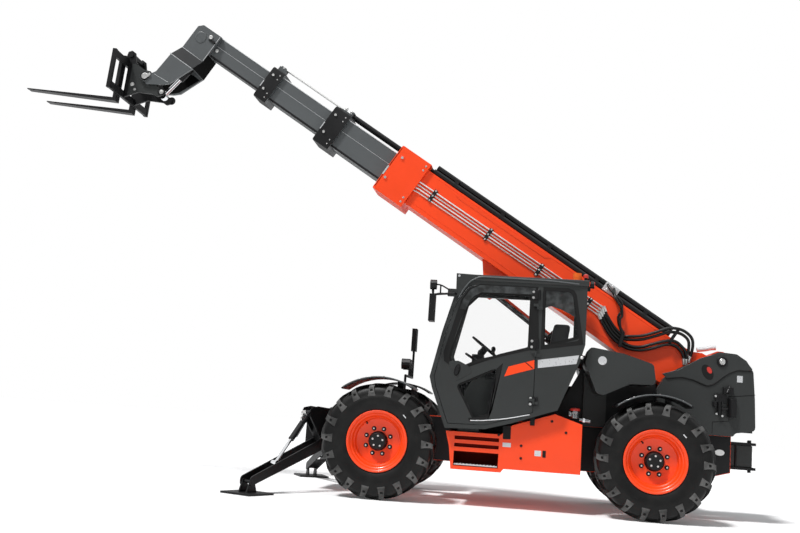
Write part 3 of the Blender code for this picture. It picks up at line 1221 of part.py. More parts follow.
MIRROR_PIPE = 0.012
MIRROR_ARM_OUT = 0.06
MIRROR_ARM_BACK = 0.13
MIRROR_AHEAD = 0.01
MIRROR_OUT = 0.10
MIRROR_Z = 2.13
MIRROR_SIZE = (0.03, 0.09, 0.15)
MIRROR_BRACKET = 0.03
LAMP_RADIUS = 0.055
LAMP_DEEP = 0.07
BEACON_RADIUS = 0.05
BEACON_TALL = 0.10
BEACON_IN = 0.11
BEACON_SIDE_IN = 0.20
BEACON_X = CAB_REAR + BEACON_IN
BEACON_Y = CAB_OUTER_Y - BEACON_SIDE_IN
STAND_SETBACK = 0.09
STAND_X = WHEELBASE - STAND_SETBACK
STAND_Z = 1.42
STAND_MIRROR_Z = 1.92
STAND_LAMP_AHEAD = 0.10
STAND_LAMP_X = STAND_X + STAND_LAMP_AHEAD
STAND_LAMP_Z = 1.58
STAND_Y = 1.10
STAND_FOOT = 0.05
STAND_PIPE = 0.016
STAND_LAMP_RADIUS = 0.07
STAND_LAMP_DEEP = 0.11


def left_mirror():
    """Mirror and work lamp on a bent arm from the cab's front pillar."""
    x = CAB_FRONT - MIRROR_ARM_BACK * (CAB_FRONT - CAB_REAR)
    y = CAB_OUTER_Y + SEAT_GAP
    z = SCREEN_TOP - MIRROR_BRACKET
    plate = block((x - MIRROR_BRACKET, y, z - MIRROR_BRACKET),
                  (x - MIRROR_BRACKET / 3, y + MIRROR_PIPE, z + MIRROR_BRACKET))
    place = Vector((CAB_FRONT + MIRROR_AHEAD, CAB_OUTER_Y + MIRROR_OUT, MIRROR_Z))
    size = Vector(MIRROR_SIZE)
    arm = pipe([(x - MIRROR_BRACKET, y + MIRROR_PIPE / 2, z), (x, CAB_OUTER_Y + MIRROR_ARM_OUT, z),
                (place.x, place.y, place.z + size.z)], MIRROR_PIPE)
    glass = block(tuple(place - size), tuple(place + size))
    lamp_z = place.z + size.z + 2 * LAMP_RADIUS
    post = pipe([(place.x, place.y, place.z), (place.x, place.y, lamp_z)], MIRROR_PIPE)
    lamp = rod((place.x - LAMP_DEEP / 2, place.y, lamp_z), (place.x + LAMP_DEEP / 2, place.y, lamp_z),
               LAMP_RADIUS)
    finish("mirror_left", fuse(plate, arm, glass, post, lamp), BLACK, machine, (x, y, z))


def roof_beacon():
    low = CAB_TOP + ROOF_THICK + 2 * SEAT_GAP
    lens = rod((BEACON_X, BEACON_Y, low), (BEACON_X, BEACON_Y, low + BEACON_TALL), BEACON_RADIUS)
    finish("beacon", lens, AMBER, machine, (BEACON_X, BEACON_Y, low))


def right_stand():
    """Bent tube on the frame's right plate with the right mirror and the two headlamps."""
    foot_y = -FRAME_HALF - SEAT_GAP
    foot = block((STAND_X - STAND_FOOT, foot_y - STAND_FOOT, FRAME_TOP - 3 * STAND_FOOT),
                 (STAND_X + STAND_FOOT, foot_y, FRAME_TOP))
    root = foot_y - STAND_FOOT / 2
    arm = pipe([(STAND_X, root, FRAME_TOP - STAND_FOOT), (STAND_X, root, STAND_Z),
                (STAND_X, -STAND_Y, STAND_Z), (STAND_X, -STAND_Y, STAND_MIRROR_Z)], STAND_PIPE)
    size = Vector(MIRROR_SIZE)
    place = Vector((STAND_X, -STAND_Y, STAND_MIRROR_Z))
    parts = [foot, arm, block(tuple(place - size), tuple(place + size))]
    for y in (-STAND_Y + 4 * STAND_FOOT, -STAND_Y + 8 * STAND_FOOT):
        parts.append(pipe([(STAND_X, y, STAND_Z), (STAND_X, y, STAND_LAMP_Z)], MIRROR_PIPE))
        parts.append(rod((STAND_LAMP_X - STAND_LAMP_DEEP, y, STAND_LAMP_Z),
                         (STAND_LAMP_X, y, STAND_LAMP_Z), STAND_LAMP_RADIUS))
    finish("lamp_mirror_stand_right", fuse(*parts), BLACK, machine, (STAND_X, foot_y, FRAME_TOP))


cab()
cab_door()
seat_and_console()
left_mirror()
roof_beacon()
right_stand()


def centre_machine():
    """Put the middle of the machine's length on the world origin."""
    bpy.context.view_layer.update()
    ends = []
    for item in bpy.data.objects:
        if item.type == "MESH":
            ends += [(item.matrix_world @ vertex.co).x for vertex in item.data.vertices]
    machine.location.x -= (min(ends) + max(ends)) / 2
    bpy.context.view_layer.update()


centre_machine()
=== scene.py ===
"""Looks of the telehandler: finishes, hoses, fastenings, trim, tyres, glazing, studio and camera.

Machine frame: x forward from the rear axle, y to the left, z up from the floor, in metres.
Boom frame: x along the boom from its pivot, z square to it.
"""
import json
import math

import bmesh
import bpy
from mathutils import Matrix, Vector


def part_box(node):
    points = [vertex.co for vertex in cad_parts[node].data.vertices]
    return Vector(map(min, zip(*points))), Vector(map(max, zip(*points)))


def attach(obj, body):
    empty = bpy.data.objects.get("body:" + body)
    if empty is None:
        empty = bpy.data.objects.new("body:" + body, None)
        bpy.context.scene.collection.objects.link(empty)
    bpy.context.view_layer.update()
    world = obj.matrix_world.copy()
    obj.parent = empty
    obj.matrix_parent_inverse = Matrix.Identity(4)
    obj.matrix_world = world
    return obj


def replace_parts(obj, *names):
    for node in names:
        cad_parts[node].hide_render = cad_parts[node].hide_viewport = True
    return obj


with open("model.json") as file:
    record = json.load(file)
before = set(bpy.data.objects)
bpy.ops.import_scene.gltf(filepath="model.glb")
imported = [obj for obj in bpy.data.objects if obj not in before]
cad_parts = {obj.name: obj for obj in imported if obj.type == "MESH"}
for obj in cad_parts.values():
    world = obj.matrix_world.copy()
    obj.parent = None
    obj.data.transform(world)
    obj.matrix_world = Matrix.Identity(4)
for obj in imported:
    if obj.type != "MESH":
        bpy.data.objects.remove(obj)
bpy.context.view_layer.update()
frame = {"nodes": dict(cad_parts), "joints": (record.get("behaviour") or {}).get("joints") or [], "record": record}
JOINTS = {joint["name"]: joint for joint in frame["joints"]}


# Frames

LEFTWARD = (0.0, 1.0, 0.0)
UPWARD = (0.0, 0.0, 1.0)
FORWARD = (1.0, 0.0, 0.0)
REARWARD = (-1.0, 0.0, 0.0)


def outward(side):
    """Direction out of the machine's left side (1) or right side (-1)."""
    return (0.0, float(side), 0.0)


def middle(node):
    """Middle of a CAD node's box at rest."""
    low, high = (Vector(corner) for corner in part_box(node))
    return (low + high) / 2


def axes(origin, forward, left):
    """A frame with x forward and y to the left."""
    forward = Vector(forward).normalized()
    left = Vector(left).normalized()
    up = forward.cross(left)
    turn = Matrix((forward, left, up)).transposed().to_4x4()
    return Matrix.Translation(Vector(origin)) @ turn


def joint_place(name):
    """A joint's place at rest."""
    return Vector(JOINTS[name]["pos_m"])


REAR_AXLE = middle("rim_rear_left")
MACHINE = Matrix.Translation((REAR_AXLE.x, 0.0, 0.0))
BOOM_DIRECTION = Vector(JOINTS["boom_telescope_2"]["axis"])
BOOM = axes(joint_place("boom_lift"), BOOM_DIRECTION, LEFTWARD)
FORK_PITCH = math.radians(4.3)
COUPLER = axes(joint_place("fork_tilt"), (math.cos(FORK_PITCH), 0.0, math.sin(FORK_PITCH)), LEFTWARD)


def stabiliser_frame(name):
    """Frame of one stabiliser's vertical plane, x outwards from its pivot, z up from the floor."""
    pivot = joint_place("stabiliser_" + name)
    axis = Vector(JOINTS["stabiliser_" + name]["axis"])
    out = axis.cross(Vector(UPWARD)) * -1.0
    if out.x < 0:
        out = -out
    left = Vector(UPWARD).cross(out)
    return axes((pivot.x, pivot.y, 0.0), out, left)


# Shapes

# Washer and bolt head: distance along and radius, as shares of the bolt's radius
WASHER_PROFILE = ((-0.2, 1.35), (0.25, 1.35))
BOLT_PROFILE = ((0.2, 1.0), (0.85, 1.0), (1.0, 0.85))


def at(axis, station, pair):
    """Point of a flat outline's pair, at a station along the axis it faces."""
    a, b = pair
    return {"X": (station, a, b), "Y": (a, station, b), "Z": (a, b, station)}[axis]


class Shape:
    """Closed shells gathered into one mesh."""

    def __init__(self):
        self.points = []
        self.faces = []

    def loft(self, loops, closed=False):
        """Join loops of points into a skin, with end faces unless it closes on itself."""
        start = len(self.points)
        count = len(loops[0])
        for loop in loops:
            self.points.extend(tuple(point) for point in loop)
        rows = len(loops)
        for r in range(rows if closed else rows - 1):
            a = start + r * count
            b = start + ((r + 1) % rows) * count
            for i in range(count):
                j = (i + 1) % count
                self.faces.append((a + i, a + j, b + j, b + i))
        if not closed:
            self.faces.append(tuple(range(start + count - 1, start - 1, -1)))
            self.faces.append(tuple(range(start + (rows - 1) * count, start + rows * count)))
        return self

    def prism(self, axis, outline, low, high):
        """An outline drawn out along an axis."""
        return self.loft([[at(axis, station, pair) for pair in outline] for station in (low, high)])

    def side_plate(self, outline, side, low, high):
        """A plate in the side plane, between two distances from the middle plane."""
        return self.prism("Y", outline, *sorted((side * low, side * high)))

    def frame(self, axis, outer, inner, low, high):
        """A flat ring between an outer and an inner outline."""
        return self.loft([[at(axis, low, a), at(axis, high, a), at(axis, high, b), at(axis, low, b)]
                          for a, b in zip(outer, inner)], closed=True)

    def box(self, low, high):
        """A box between two corners."""
        corners = ((low[0], low[1]), (high[0], low[1]), (high[0], high[1]), (low[0], high[1]))
        return self.prism("Z", corners, low[2], high[2])

    def slab(self, centre, size):
        """A box about its middle."""
        c, s = Vector(centre), Vector(size) / 2
        return self.box(c - s, c + s)

    def rod(self, start, end, radius, steps=20):
        """A round bar between two points."""
        along = Vector(end) - Vector(start)
        return self.turned(start, along, ((0.0, radius), (along.length, radius)), steps)

    def turned(self, origin, along, profile, steps=32):
        """Turn a profile of (distance along, radius) pairs about a line."""
        turn = Vector(UPWARD).rotation_difference(Vector(along))
        loops = []
        for distance, radius in profile:
            loop = []
            for k in range(steps):
                angle = 2 * math.pi * k / steps
                flat = Vector((math.cos(angle) * radius, math.sin(angle) * radius, distance))
                loop.append(Vector(origin) + turn @ flat)
            loops.append(loop)
        return self.loft(loops)

    def pipe(self, path, radius, steps=10, smooth=0):
        """A round tube along a path, smoothed by so many points for each of its stretches."""
        points = [Vector(point) for point in path]
        if smooth:
            points = curve_through(points, smooth)
        loops = []
        for i, point in enumerate(points):
            back = (point - points[i - 1]).normalized() if i else (points[1] - point).normalized()
            ahead = (points[i + 1] - point).normalized() if i < len(points) - 1 else back
            middle_way = (back + ahead).normalized()
            if i:
                loop = []
                for old in loops[-1]:
                    travel = point - old
                    loop.append(old + back * travel.dot(middle_way) / max(back.dot(middle_way), 0.2))
            else:
                turn = Vector(UPWARD).rotation_difference(back)
                loop = []
                for k in range(steps):
                    angle = 2 * math.pi * k / steps
                    loop.append(point + turn @ Vector((math.cos(angle), math.sin(angle), 0.0)) * radius)
            loops.append(loop)
        return self.loft(loops)

    def ball(self, centre, radius, steps=16, stretch=1.0):
        """A ball, made taller by the stretch factor."""
        profile = []
        for k in range(1, steps // 2):
            angle = math.pi * k / (steps // 2)
            profile.append((-math.cos(angle) * radius * stretch, math.sin(angle) * radius))
        return self.turned(centre, UPWARD, profile, steps)

    def bolt(self, place, along, radius):
        """A hexagon head on its washer."""
        along = Vector(along).normalized()
        washer = [(radius * a, radius * b) for a, b in WASHER_PROFILE]
        head = [(radius * a, radius * b) for a, b in BOLT_PROFILE]
        self.turned(place, along, washer, 16)
        return self.turned(place, along, head, 6)

    def bolts(self, spots, y, radius, side=1):
        """Bolts on a side face, at (x, z) places."""
        for x, z in spots:
            self.bolt((x, side * y, z), outward(side), radius)
        return self


def curve_through(points, steps):
    """A smooth path through points (Catmull-Rom)."""
    row = [points[0] * 2 - points[1], *points, points[-1] * 2 - points[-2]]
    path = []
    for i in range(1, len(row) - 2):
        a, b, c, d = row[i - 1:i + 3]
        for k in range(steps):
            t = k / steps
            path.append((b * 2 + (c - a) * t + (a * 2 - b * 5 + c * 4 - d) * t ** 2
                         + (b * 3 - a - c * 3 + d) * t ** 3) / 2)
    return path + [points[-1]]


def spread(shares, low, high):
    """Points at shares of the way between two corners."""
    return [(low[0] + a * (high[0] - low[0]), low[1] + b * (high[1] - low[1])) for a, b in shares]


def rounded(outline, radius, steps=5):
    """The outline with its corners rounded as far as its sides have room."""
    result = []
    for i, corner in enumerate(outline):
        corner = Vector(corner)
        back = Vector(outline[i - 1]) - corner
        ahead = Vector(outline[(i + 1) % len(outline)]) - corner
        reach = min(radius / math.tan(back.angle(ahead) / 2), back.length * 0.45, ahead.length * 0.45)
        start = corner + back.normalized() * reach
        end = corner + ahead.normalized() * reach
        for k in range(steps + 1):
            t = k / steps
            result.append(tuple(start * (1 - t) ** 2 + corner * 2 * t * (1 - t) + end * t ** 2))
    return result


def leaning(outline, lean):
    """The outline turned about its frame's origin."""
    return [(a * math.cos(lean) - b * math.sin(lean), a * math.sin(lean) + b * math.cos(lean))
            for a, b in outline]


def oval(centre, half_wide, half_tall, lean, steps):
    """Outline of a leaning ellipse."""
    angles = [2 * math.pi * k / steps for k in range(steps)]
    flat = [(math.cos(angle) * half_wide, math.sin(angle) * half_tall) for angle in angles]
    return [(centre[0] + a, centre[1] + b) for a, b in leaning(flat, lean)]


def inset(outline, distance):
    """The outline moved inwards by a distance, or outwards by a negative one."""
    area = sum(outline[i - 1][0] * outline[i][1] - outline[i][0] * outline[i - 1][1]
               for i in range(len(outline)))
    side = 1 if area > 0 else -1
    result = []
    for i, corner in enumerate(outline):
        corner = Vector(corner)
        back = (corner - Vector(outline[i - 1])).normalized()
        ahead = (Vector(outline[(i + 1) % len(outline)]) - corner).normalized()
        normal = Vector((-back.y, back.x)) * side
        other = Vector((-ahead.y, ahead.x)) * side
        way = (normal + other).normalized()
        result.append(tuple(corner + way * distance / way.dot(normal)))
    return result


SMOOTH_DEG = 36
EDGE = 0.004
EDGE_SEGMENTS = 2


def soften(item, width):
    """Small round edges that catch the light."""
    if width:
        bevel = item.modifiers.new("edges", "BEVEL")
        bevel.width = width
        bevel.segments = EDGE_SEGMENTS
        bevel.limit_method = "ANGLE"
        bevel.angle_limit = math.radians(SMOOTH_DEG)
        bevel.harden_normals = True


def piece(name, shape, look, body, place=MACHINE, edge=0.0):
    """Make one object from a shape, in a frame, and let it ride on a body."""
    data = bpy.data.meshes.new(name)
    data.from_pydata([tuple(point) for point in shape.points], [], shape.faces)
    data.validate()
    shell = bmesh.new()
    shell.from_mesh(data)
    bmesh.ops.recalc_face_normals(shell, faces=shell.faces)
    shell.to_mesh(data)
    shell.free()
    item = bpy.data.objects.new(name, data)
    bpy.context.scene.collection.objects.link(item)
    data.materials.append(look)
    data.shade_smooth()
    data.set_sharp_from_angle(angle=math.radians(SMOOTH_DEG))
    item.matrix_world = place
    soften(item, edge)
    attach(item, body)
    return item


def made_of(parts):
    """A shape from rows of a way to make a part and its measures."""
    shape = Shape()
    for make, *measures in parts:
        make(shape, *measures)
    return shape


def pieces_from(rows, place=MACHINE):
    """Pieces from rows of name, look, body, edge width and parts."""
    for name, look, body, edge, parts in rows:
        piece(name, made_of(parts), look, body, place, edge)


# Materials

def nodes_of(look):
    """A material's tree, its nodes and its surface node."""
    tree = look.node_tree
    return tree, tree.nodes, tree.nodes["Principled BSDF"]


COAT_ROUGHNESS = 0.12
GLASS_IOR = 1.5


def base_material(name, colour, roughness, metallic=0.0, coat=0.0):
    """A material of one colour."""
    look = bpy.data.materials.new(name + "_look")
    look.use_nodes = True
    surface = look.node_tree.nodes["Principled BSDF"]
    surface.inputs["Base Color"].default_value = (*colour, 1.0)
    surface.inputs["Roughness"].default_value = roughness
    surface.inputs["Metallic"].default_value = metallic
    surface.inputs["Coat Weight"].default_value = coat
    surface.inputs["Coat Roughness"].default_value = COAT_ROUGHNESS
    return look


def dampen(look, share):
    """Set how strongly a surface that isn't metal reflects."""
    look.node_tree.nodes["Principled BSDF"].inputs["Specular IOR Level"].default_value = share


def add_noise(look, scale, detail):
    """A noise that reads the object's own coordinates."""
    tree, nodes, _ = nodes_of(look)
    place = nodes.get("place") or nodes.new("ShaderNodeTexCoord")
    place.name = "place"
    noise = nodes.new("ShaderNodeTexNoise")
    noise.inputs["Scale"].default_value = scale
    noise.inputs["Detail"].default_value = detail
    tree.links.new(place.outputs["Object"], noise.inputs["Vector"])
    return noise


def vary_colour(look, colour, other, scale, low=0.35, high=0.65):
    """Blend two colours by a slow noise."""
    tree, nodes, surface = nodes_of(look)
    noise = add_noise(look, scale, 5.0)
    ramp = nodes.new("ShaderNodeValToRGB")
    ramp.color_ramp.elements[0].position = low
    ramp.color_ramp.elements[0].color = (*colour, 1.0)
    ramp.color_ramp.elements[1].position = high
    ramp.color_ramp.elements[1].color = (*other, 1.0)
    tree.links.new(noise.outputs["Fac"], ramp.inputs["Fac"])
    tree.links.new(ramp.outputs["Color"], surface.inputs["Base Color"])


def vary_roughness(look, scale, low, high):
    """Vary the roughness between two values by a noise."""
    tree, nodes, surface = nodes_of(look)
    noise = add_noise(look, scale, 6.0)
    fit = nodes.new("ShaderNodeMapRange")
    fit.inputs["To Min"].default_value = low
    fit.inputs["To Max"].default_value = high
    tree.links.new(noise.outputs["Fac"], fit.inputs["Value"])
    tree.links.new(fit.outputs["Result"], surface.inputs["Roughness"])


def add_bump(look, scale, strength, distance, detail=3.0):
    """Fine grain that tilts the surface's normal."""
    tree, nodes, surface = nodes_of(look)
    grain = add_noise(look, scale, detail)
    bump = nodes.new("ShaderNodeBump")
    bump.inputs["Strength"].default_value = strength
    bump.inputs["Distance"].default_value = distance
    tree.links.new(grain.outputs["Fac"], bump.inputs["Height"])
    tree.links.new(bump.outputs["Normal"], surface.inputs["Normal"])


def paint(name, colour, other, roughness, coat):
    """Sprayed paint in two close shades, with a fine grain."""
    look = base_material(name, colour, roughness, 0.0, coat)
    vary_colour(look, colour, other, 1.6)
    vary_roughness(look, 7.0, roughness * 0.85, roughness * 1.2)
    add_bump(look, 380.0, 0.05, 0.0006)
    return look


def shade(colour, factor):
    """The colour, made darker or lighter."""
    return tuple(part * factor for part in colour)


ORANGE_COLOUR = (0.93, 0.062, 0.007)
GREY_COLOUR = (0.0265, 0.0290, 0.0285)
BOOM_GREY_COLOUR = (0.086, 0.093, 0.096)
BLACK_COLOUR = (0.005, 0.005, 0.0055)

ORANGE = paint("orange_paint", ORANGE_COLOUR, shade(ORANGE_COLOUR, 0.93), 0.32, 0.18)
GREY = paint("dark_grey_paint", GREY_COLOUR, shade(GREY_COLOUR, 0.86), 0.42, 0.06)
BOOM_GREY = paint("boom_grey_paint", BOOM_GREY_COLOUR, shade(BOOM_GREY_COLOUR, 0.88), 0.36, 0.12)
BLACK = paint("black_paint", BLACK_COLOUR, shade(BLACK_COLOUR, 1.6), 0.42, 0.0)
for dark, share in ((ORANGE, 0.36), (GREY, 0.38), (BOOM_GREY, 0.42), (BLACK, 0.28)):
    dampen(dark, share)
AMBER_COLOUR = (0.90, 0.16, 0.015)
AMBER = base_material("amber_lens", AMBER_COLOUR, 0.18, 0.0, 0.4)
vary_colour(AMBER, AMBER_COLOUR, (0.80, 0.11, 0.01), 30.0)
CHROME = base_material("chromed_rod", (0.78, 0.79, 0.81), 0.10, 1.0)
vary_roughness(CHROME, 40.0, 0.06, 0.16)
STEEL = base_material("zinc_steel", (0.78, 0.78, 0.77), 0.32, 1.0)
vary_roughness(STEEL, 60.0, 0.25, 0.42)
PLASTIC = base_material("black_plastic", (0.016, 0.016, 0.017), 0.5)
vary_roughness(PLASTIC, 25.0, 0.42, 0.62)
add_bump(PLASTIC, 900.0, 0.25, 0.0006)
HOSE = base_material("hose_rubber", (0.005, 0.005, 0.005), 0.36)
vary_roughness(HOSE, 30.0, 0.3, 0.45)
add_bump(HOSE, 700.0, 0.2, 0.0005)
SEAL = base_material("seal_rubber", (0.008, 0.008, 0.008), 0.6)
add_bump(SEAL, 500.0, 0.2, 0.0004)
# Near-black matt sheet: painted shade in the open head
SHADE_BLACK = base_material("painted_shade_black", (0.0025, 0.0025, 0.0025), 0.85)
vary_roughness(SHADE_BLACK, 20.0, 0.78, 0.92)
# Darker grey on the head's bent face: painted shade
FOLD_SHADE_GREY = paint("fold_painted_shade", (0.012, 0.014, 0.015), (0.009, 0.010, 0.011), 0.5, 0.0)
# Dark orange-brown in the box's slots and the step's opening: painted shade
SHADE_ORANGE = base_material("painted_shade_orange", (0.085, 0.006, 0.003), 0.8)
vary_roughness(SHADE_ORANGE, 20.0, 0.72, 0.9)
# Pale silver for bright parts, also used for thin lines that are painted highlights
WHITE_LINE = base_material("silver_strip", (0.62, 0.63, 0.64), 0.28, 0.3, 0.3)
vary_roughness(WHITE_LINE, 40.0, 0.22, 0.36)
RED_CAP = base_material("red_cap", (0.55, 0.03, 0.02), 0.35, 0.0, 0.3)
add_bump(RED_CAP, 300.0, 0.1, 0.0004)


def rubber():
    """Tyre rubber with pale dust in patches."""
    look = base_material("tyre_rubber", (0.010, 0.010, 0.010), 0.42)
    vary_colour(look, (0.0045, 0.0045, 0.0045), (0.010, 0.010, 0.0095), 9.0, 0.4, 0.75)
    vary_roughness(look, 14.0, 0.34, 0.50)
    add_bump(look, 240.0, 0.35, 0.0015, detail=6.0)
    dampen(look, 0.22)
    return look


RUBBER = rubber()
# Paler rubber on the lug ends: dust, and a painted highlight
DUST_AND_SHEEN_RUBBER = base_material("worn_rubber", (0.055, 0.055, 0.053), 0.5)
vary_colour(DUST_AND_SHEEN_RUBBER, (0.022, 0.022, 0.021), (0.085, 0.084, 0.082), 9.0, 0.38, 0.62)
for dark, share in ((HOSE, 0.35), (PLASTIC, 0.3), (SEAL, 0.2), (SHADE_BLACK, 0.06), (FOLD_SHADE_GREY, 0.2),
                    (SHADE_ORANGE, 0.06)):
    dampen(dark, share)


def glass(name, tint, alpha):
    """Clear glass that mostly lets the view through."""
    look = base_material(name, tint, 0.03)
    surface = look.node_tree.nodes["Principled BSDF"]
    surface.inputs["Alpha"].default_value = alpha
    surface.inputs["IOR"].default_value = GLASS_IOR
    vary_roughness(look, 3.0, 0.02, 0.05)
    return look


GLASS = glass("clear_glass", (0.10, 0.11, 0.11), 0.02)

LOOKS = {look.name.removesuffix("_look"): look
         for look in (ORANGE, GREY, BOOM_GREY, BLACK, RUBBER, CHROME, GLASS, PLASTIC, AMBER)}

# Width of the rounded edges on the CAD nodes, where it isn't the usual one
NODE_EDGES = {"fork_left": 0.006, "fork_right": 0.006, "windscreen": 0.0, "rear_window": 0.0,
              "right_window": 0.0, "quarter_window": 0.0, "door_window": 0.0, "door_low_glass": 0.0,
              "console_steering_wheel": 0.0, "boom_base": 0.006, "chassis_frame": 0.006,
              "engine_hood": 0.012, "mirror_left": 0.010, "rear_body_left": 0.014, "rear_body_right": 0.014,
              "rear_tower": 0.010, "cab_shell": 0.006, "cab_door": 0.005, "cab_roof": 0.012}


def finish_nodes():
    """Give each CAD node its finish and soft edges."""
    slots = {row["node"]: row["material_slot"] for row in frame["record"]["subparts"]}
    for name, item in frame["nodes"].items():
        item.data.materials.clear()
        item.data.materials.append(LOOKS[slots[name]])
        item.data.shade_smooth()
        item.data.set_sharp_from_angle(angle=math.radians(SMOOTH_DEG))
        soften(item, NODE_EDGES.get(name, EDGE))


finish_nodes()


# Wheels

SIDES = (("left", 1), ("right", -1))
WHEELS = [(end + "_" + name, side) for end in ("front", "rear") for name, side in SIDES]
LUG_COUNT = 18
# Carcass profile: share of the half width, radius
CARCASS = ((0.80, 0.318), (0.86, 0.332), (0.93, 0.362), (0.985, 0.41), (1.0, 0.452), (0.995, 0.487),
           (0.975, 0.494), (0.955, 0.53), (0.90, 0.570), (0.80, 0.594), (0.62, 0.606), (0.30, 0.611))
TYRE_HALF = 0.200
TYRE_STEPS = 114
# Lug stations: share of the tyre's half width, base radius, top radius, share beyond at the top,
# sweep (deg), half width
LUG_STATIONS = ((0.985, 0.492, 0.496, 0.012, 0.0, 0.044), (0.965, 0.520, 0.530, 0.045, 0.0, 0.037),
                (0.92, 0.562, 0.590, 0.040, 0.4, 0.030), (0.86, 0.580, 0.622, 0.000, 1.4, 0.027),
                (0.62, 0.604, 0.634, 0.000, 5.8, 0.025), (0.30, 0.609, 0.635, 0.000, 11.6, 0.025),
                (-0.06, 0.609, 0.635, 0.000, 18.0, 0.024))
LUG_BASE_SPREAD = 0.010
LUG_SINK = 0.012
DIMPLE_SHARE = 0.42
DIMPLE_DEPTH = 0.008


def wheel_frame(name, side):
    """Frame with y outwards from the wheel's middle."""
    low, high = (Vector(corner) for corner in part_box("tyre_" + name))
    return axes((low + high) / 2, (side, 0.0, 0.0), (0.0, side, 0.0))


def polar(radius, y, angle):
    """A point of a wheel, by its radius and its angle round the axle."""
    return Vector((math.cos(angle) * radius, y, math.sin(angle) * radius))


def add_lug(shape, hand, turn):
    """One tread bar from the sidewall to the middle, with a dimple in its end."""
    loops = []
    for share, base, top, beyond, sweep, half in LUG_STATIONS:
        way = turn + math.radians(sweep)
        y_low, y_high = hand * TYRE_HALF * (share - 0.04), hand * TYRE_HALF * (share + beyond)
        wide, narrow = (half + LUG_BASE_SPREAD) / base, half / top
        loops.append([polar(base - LUG_SINK, y_low, way - wide), polar(base - LUG_SINK, y_low, way + wide),
                      polar(top, y_high, way + narrow), polar(top, y_high, way - narrow)])
    shape.loft(loops)
    first = len(shape.faces) - 2 - 4 * (len(loops) - 1)
    face = first + 2 + 4
    corners = shape.faces[face]
    spots = [shape.points[i] for i in corners]
    centre = sum((Vector(spot) for spot in spots), Vector()) / 4
    inward = Vector((0.0, -hand * DIMPLE_DEPTH, 0.0))
    rim = len(shape.points)
    for spot in spots:
        shape.points.append(tuple(centre.lerp(Vector(spot), DIMPLE_SHARE)))
    for spot in spots:
        shape.points.append(tuple(centre.lerp(Vector(spot), DIMPLE_SHARE * 0.6) + inward))
    for i in range(4):
        j = (i + 1) % 4
        shape.worn.append(len(shape.faces))
        shape.faces.append((corners[i], corners[j], rim + j, rim + i))
        shape.faces.append((rim + i, rim + j, rim + 4 + j, rim + 4 + i))
    shape.worn += [first + 2, first + 2 + 8]
    shape.faces[face] = (rim + 4, rim + 5, rim + 6, rim + 7)


def tyre_shape():
    """The carcass with its two staggered rows of lugs. Keeps the numbers of the lug-end faces drawn pale, for dust
    and a painted highlight.
    """
    shape = Shape()
    shape.worn = []
    section = [(share * TYRE_HALF, radius) for share, radius in CARCASS]
    section += [(-y, radius) for y, radius in reversed(section)]
    loops = []
    for k in range(TYRE_STEPS):
        angle = 2 * math.pi * k / TYRE_STEPS
        loops.append([polar(radius, y, angle) for y, radius in section])
    shape.loft(loops, closed=True)
    pitch = 2 * math.pi / LUG_COUNT
    for k in range(LUG_COUNT):
        add_lug(shape, 1, k * pitch)
        add_lug(shape, -1, (k + 0.5) * pitch)
    return shape


HUB_RADIUS = 0.107
HUB_FACE_Y = 0.120
NUT_CIRCLE = 0.145
NUT_COUNT = 8
DISC_Y = 0.05
HUB_PROFILE = (
    (DISC_Y - 0.01, 0.0), (DISC_Y - 0.01, HUB_RADIUS), (DISC_Y + 0.02, HUB_RADIUS),
    (DISC_Y + 0.03, HUB_RADIUS * 0.92), (HUB_FACE_Y, HUB_RADIUS * 0.88),
    (HUB_FACE_Y + 0.010, HUB_RADIUS * 0.80), (HUB_FACE_Y + 0.010, 0.0),
)
NUT_RADIUS = 0.019
STUD_RADIUS = 0.009
STUD_SPAN = (DISC_Y + 0.012, DISC_Y + 0.030)
HUB_BOLT_COUNT = 5
HUB_BOLT_CIRCLE = 0.058
HUB_BOLT_RADIUS = 0.008
# Tyre valve: its angle on the rim, and its way from the rim to its cap (radius, y)
VALVE_DEG = 55.0
VALVE_WAY = ((0.255, 0.045), (0.245, 0.075), (0.232, 0.095))
VALVE_CAP = (0.226, 0.104)


def around(count, offset):
    """Angles of evenly spaced places on a circle, the first one offset by a share of their step."""
    return [2 * math.pi * (k + offset) / count for k in range(count)]


def dress_wheels():
    """Tyres in the solids' place, hubs, wheel nuts with their studs, and valves."""
    tread = tyre_shape()
    for name, side in WHEELS:
        place = wheel_frame(name, side)
        body = "wheel_" + name
        tyre = piece("tread_" + name, tread, RUBBER, body, place, 0.003)
        # Lug ends in the paler rubber: dust and a painted highlight
        tyre.data.materials.append(DUST_AND_SHEEN_RUBBER)
        for k in tread.worn:
            tyre.data.polygons[k].material_index = 1
        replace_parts(tyre, "tyre_" + name)
        hub = Shape().turned((0.0, 0.0, 0.0), LEFTWARD, HUB_PROFILE, 40)
        piece("hub_" + name, hub, BLACK, body, place, 0.002)
        nuts = Shape()
        studs = Shape()
        for angle in around(NUT_COUNT, 0.5):
            nuts.bolt(polar(NUT_CIRCLE, DISC_Y, angle), LEFTWARD, NUT_RADIUS)
            start, end = (polar(NUT_CIRCLE, y, angle) for y in STUD_SPAN)
            studs.rod(start, end, STUD_RADIUS, 10)
        piece("wheel_nuts_" + name, nuts, BLACK, body, place, 0.001)
        piece("wheel_studs_" + name, studs, STEEL, body, place)
        dots = Shape()
        for angle in around(HUB_BOLT_COUNT, 0.3):
            dots.bolt(polar(HUB_BOLT_CIRCLE, HUB_FACE_Y + 0.010, angle), LEFTWARD, HUB_BOLT_RADIUS)
        piece("hub_bolts_" + name, dots, STEEL, body, place)
        way = math.radians(VALVE_DEG)
        stem = [polar(radius, y, way) for radius, y in VALVE_WAY]
        valve = Shape().pipe(stem, 0.008, 10, 3)
        valve.rod(stem[-1], polar(*VALVE_CAP, way), 0.010, 12)
        piece("valve_" + name, valve, BLACK, body, place)


dress_wheels()


# Boom

BASE_SIDE = 0.190
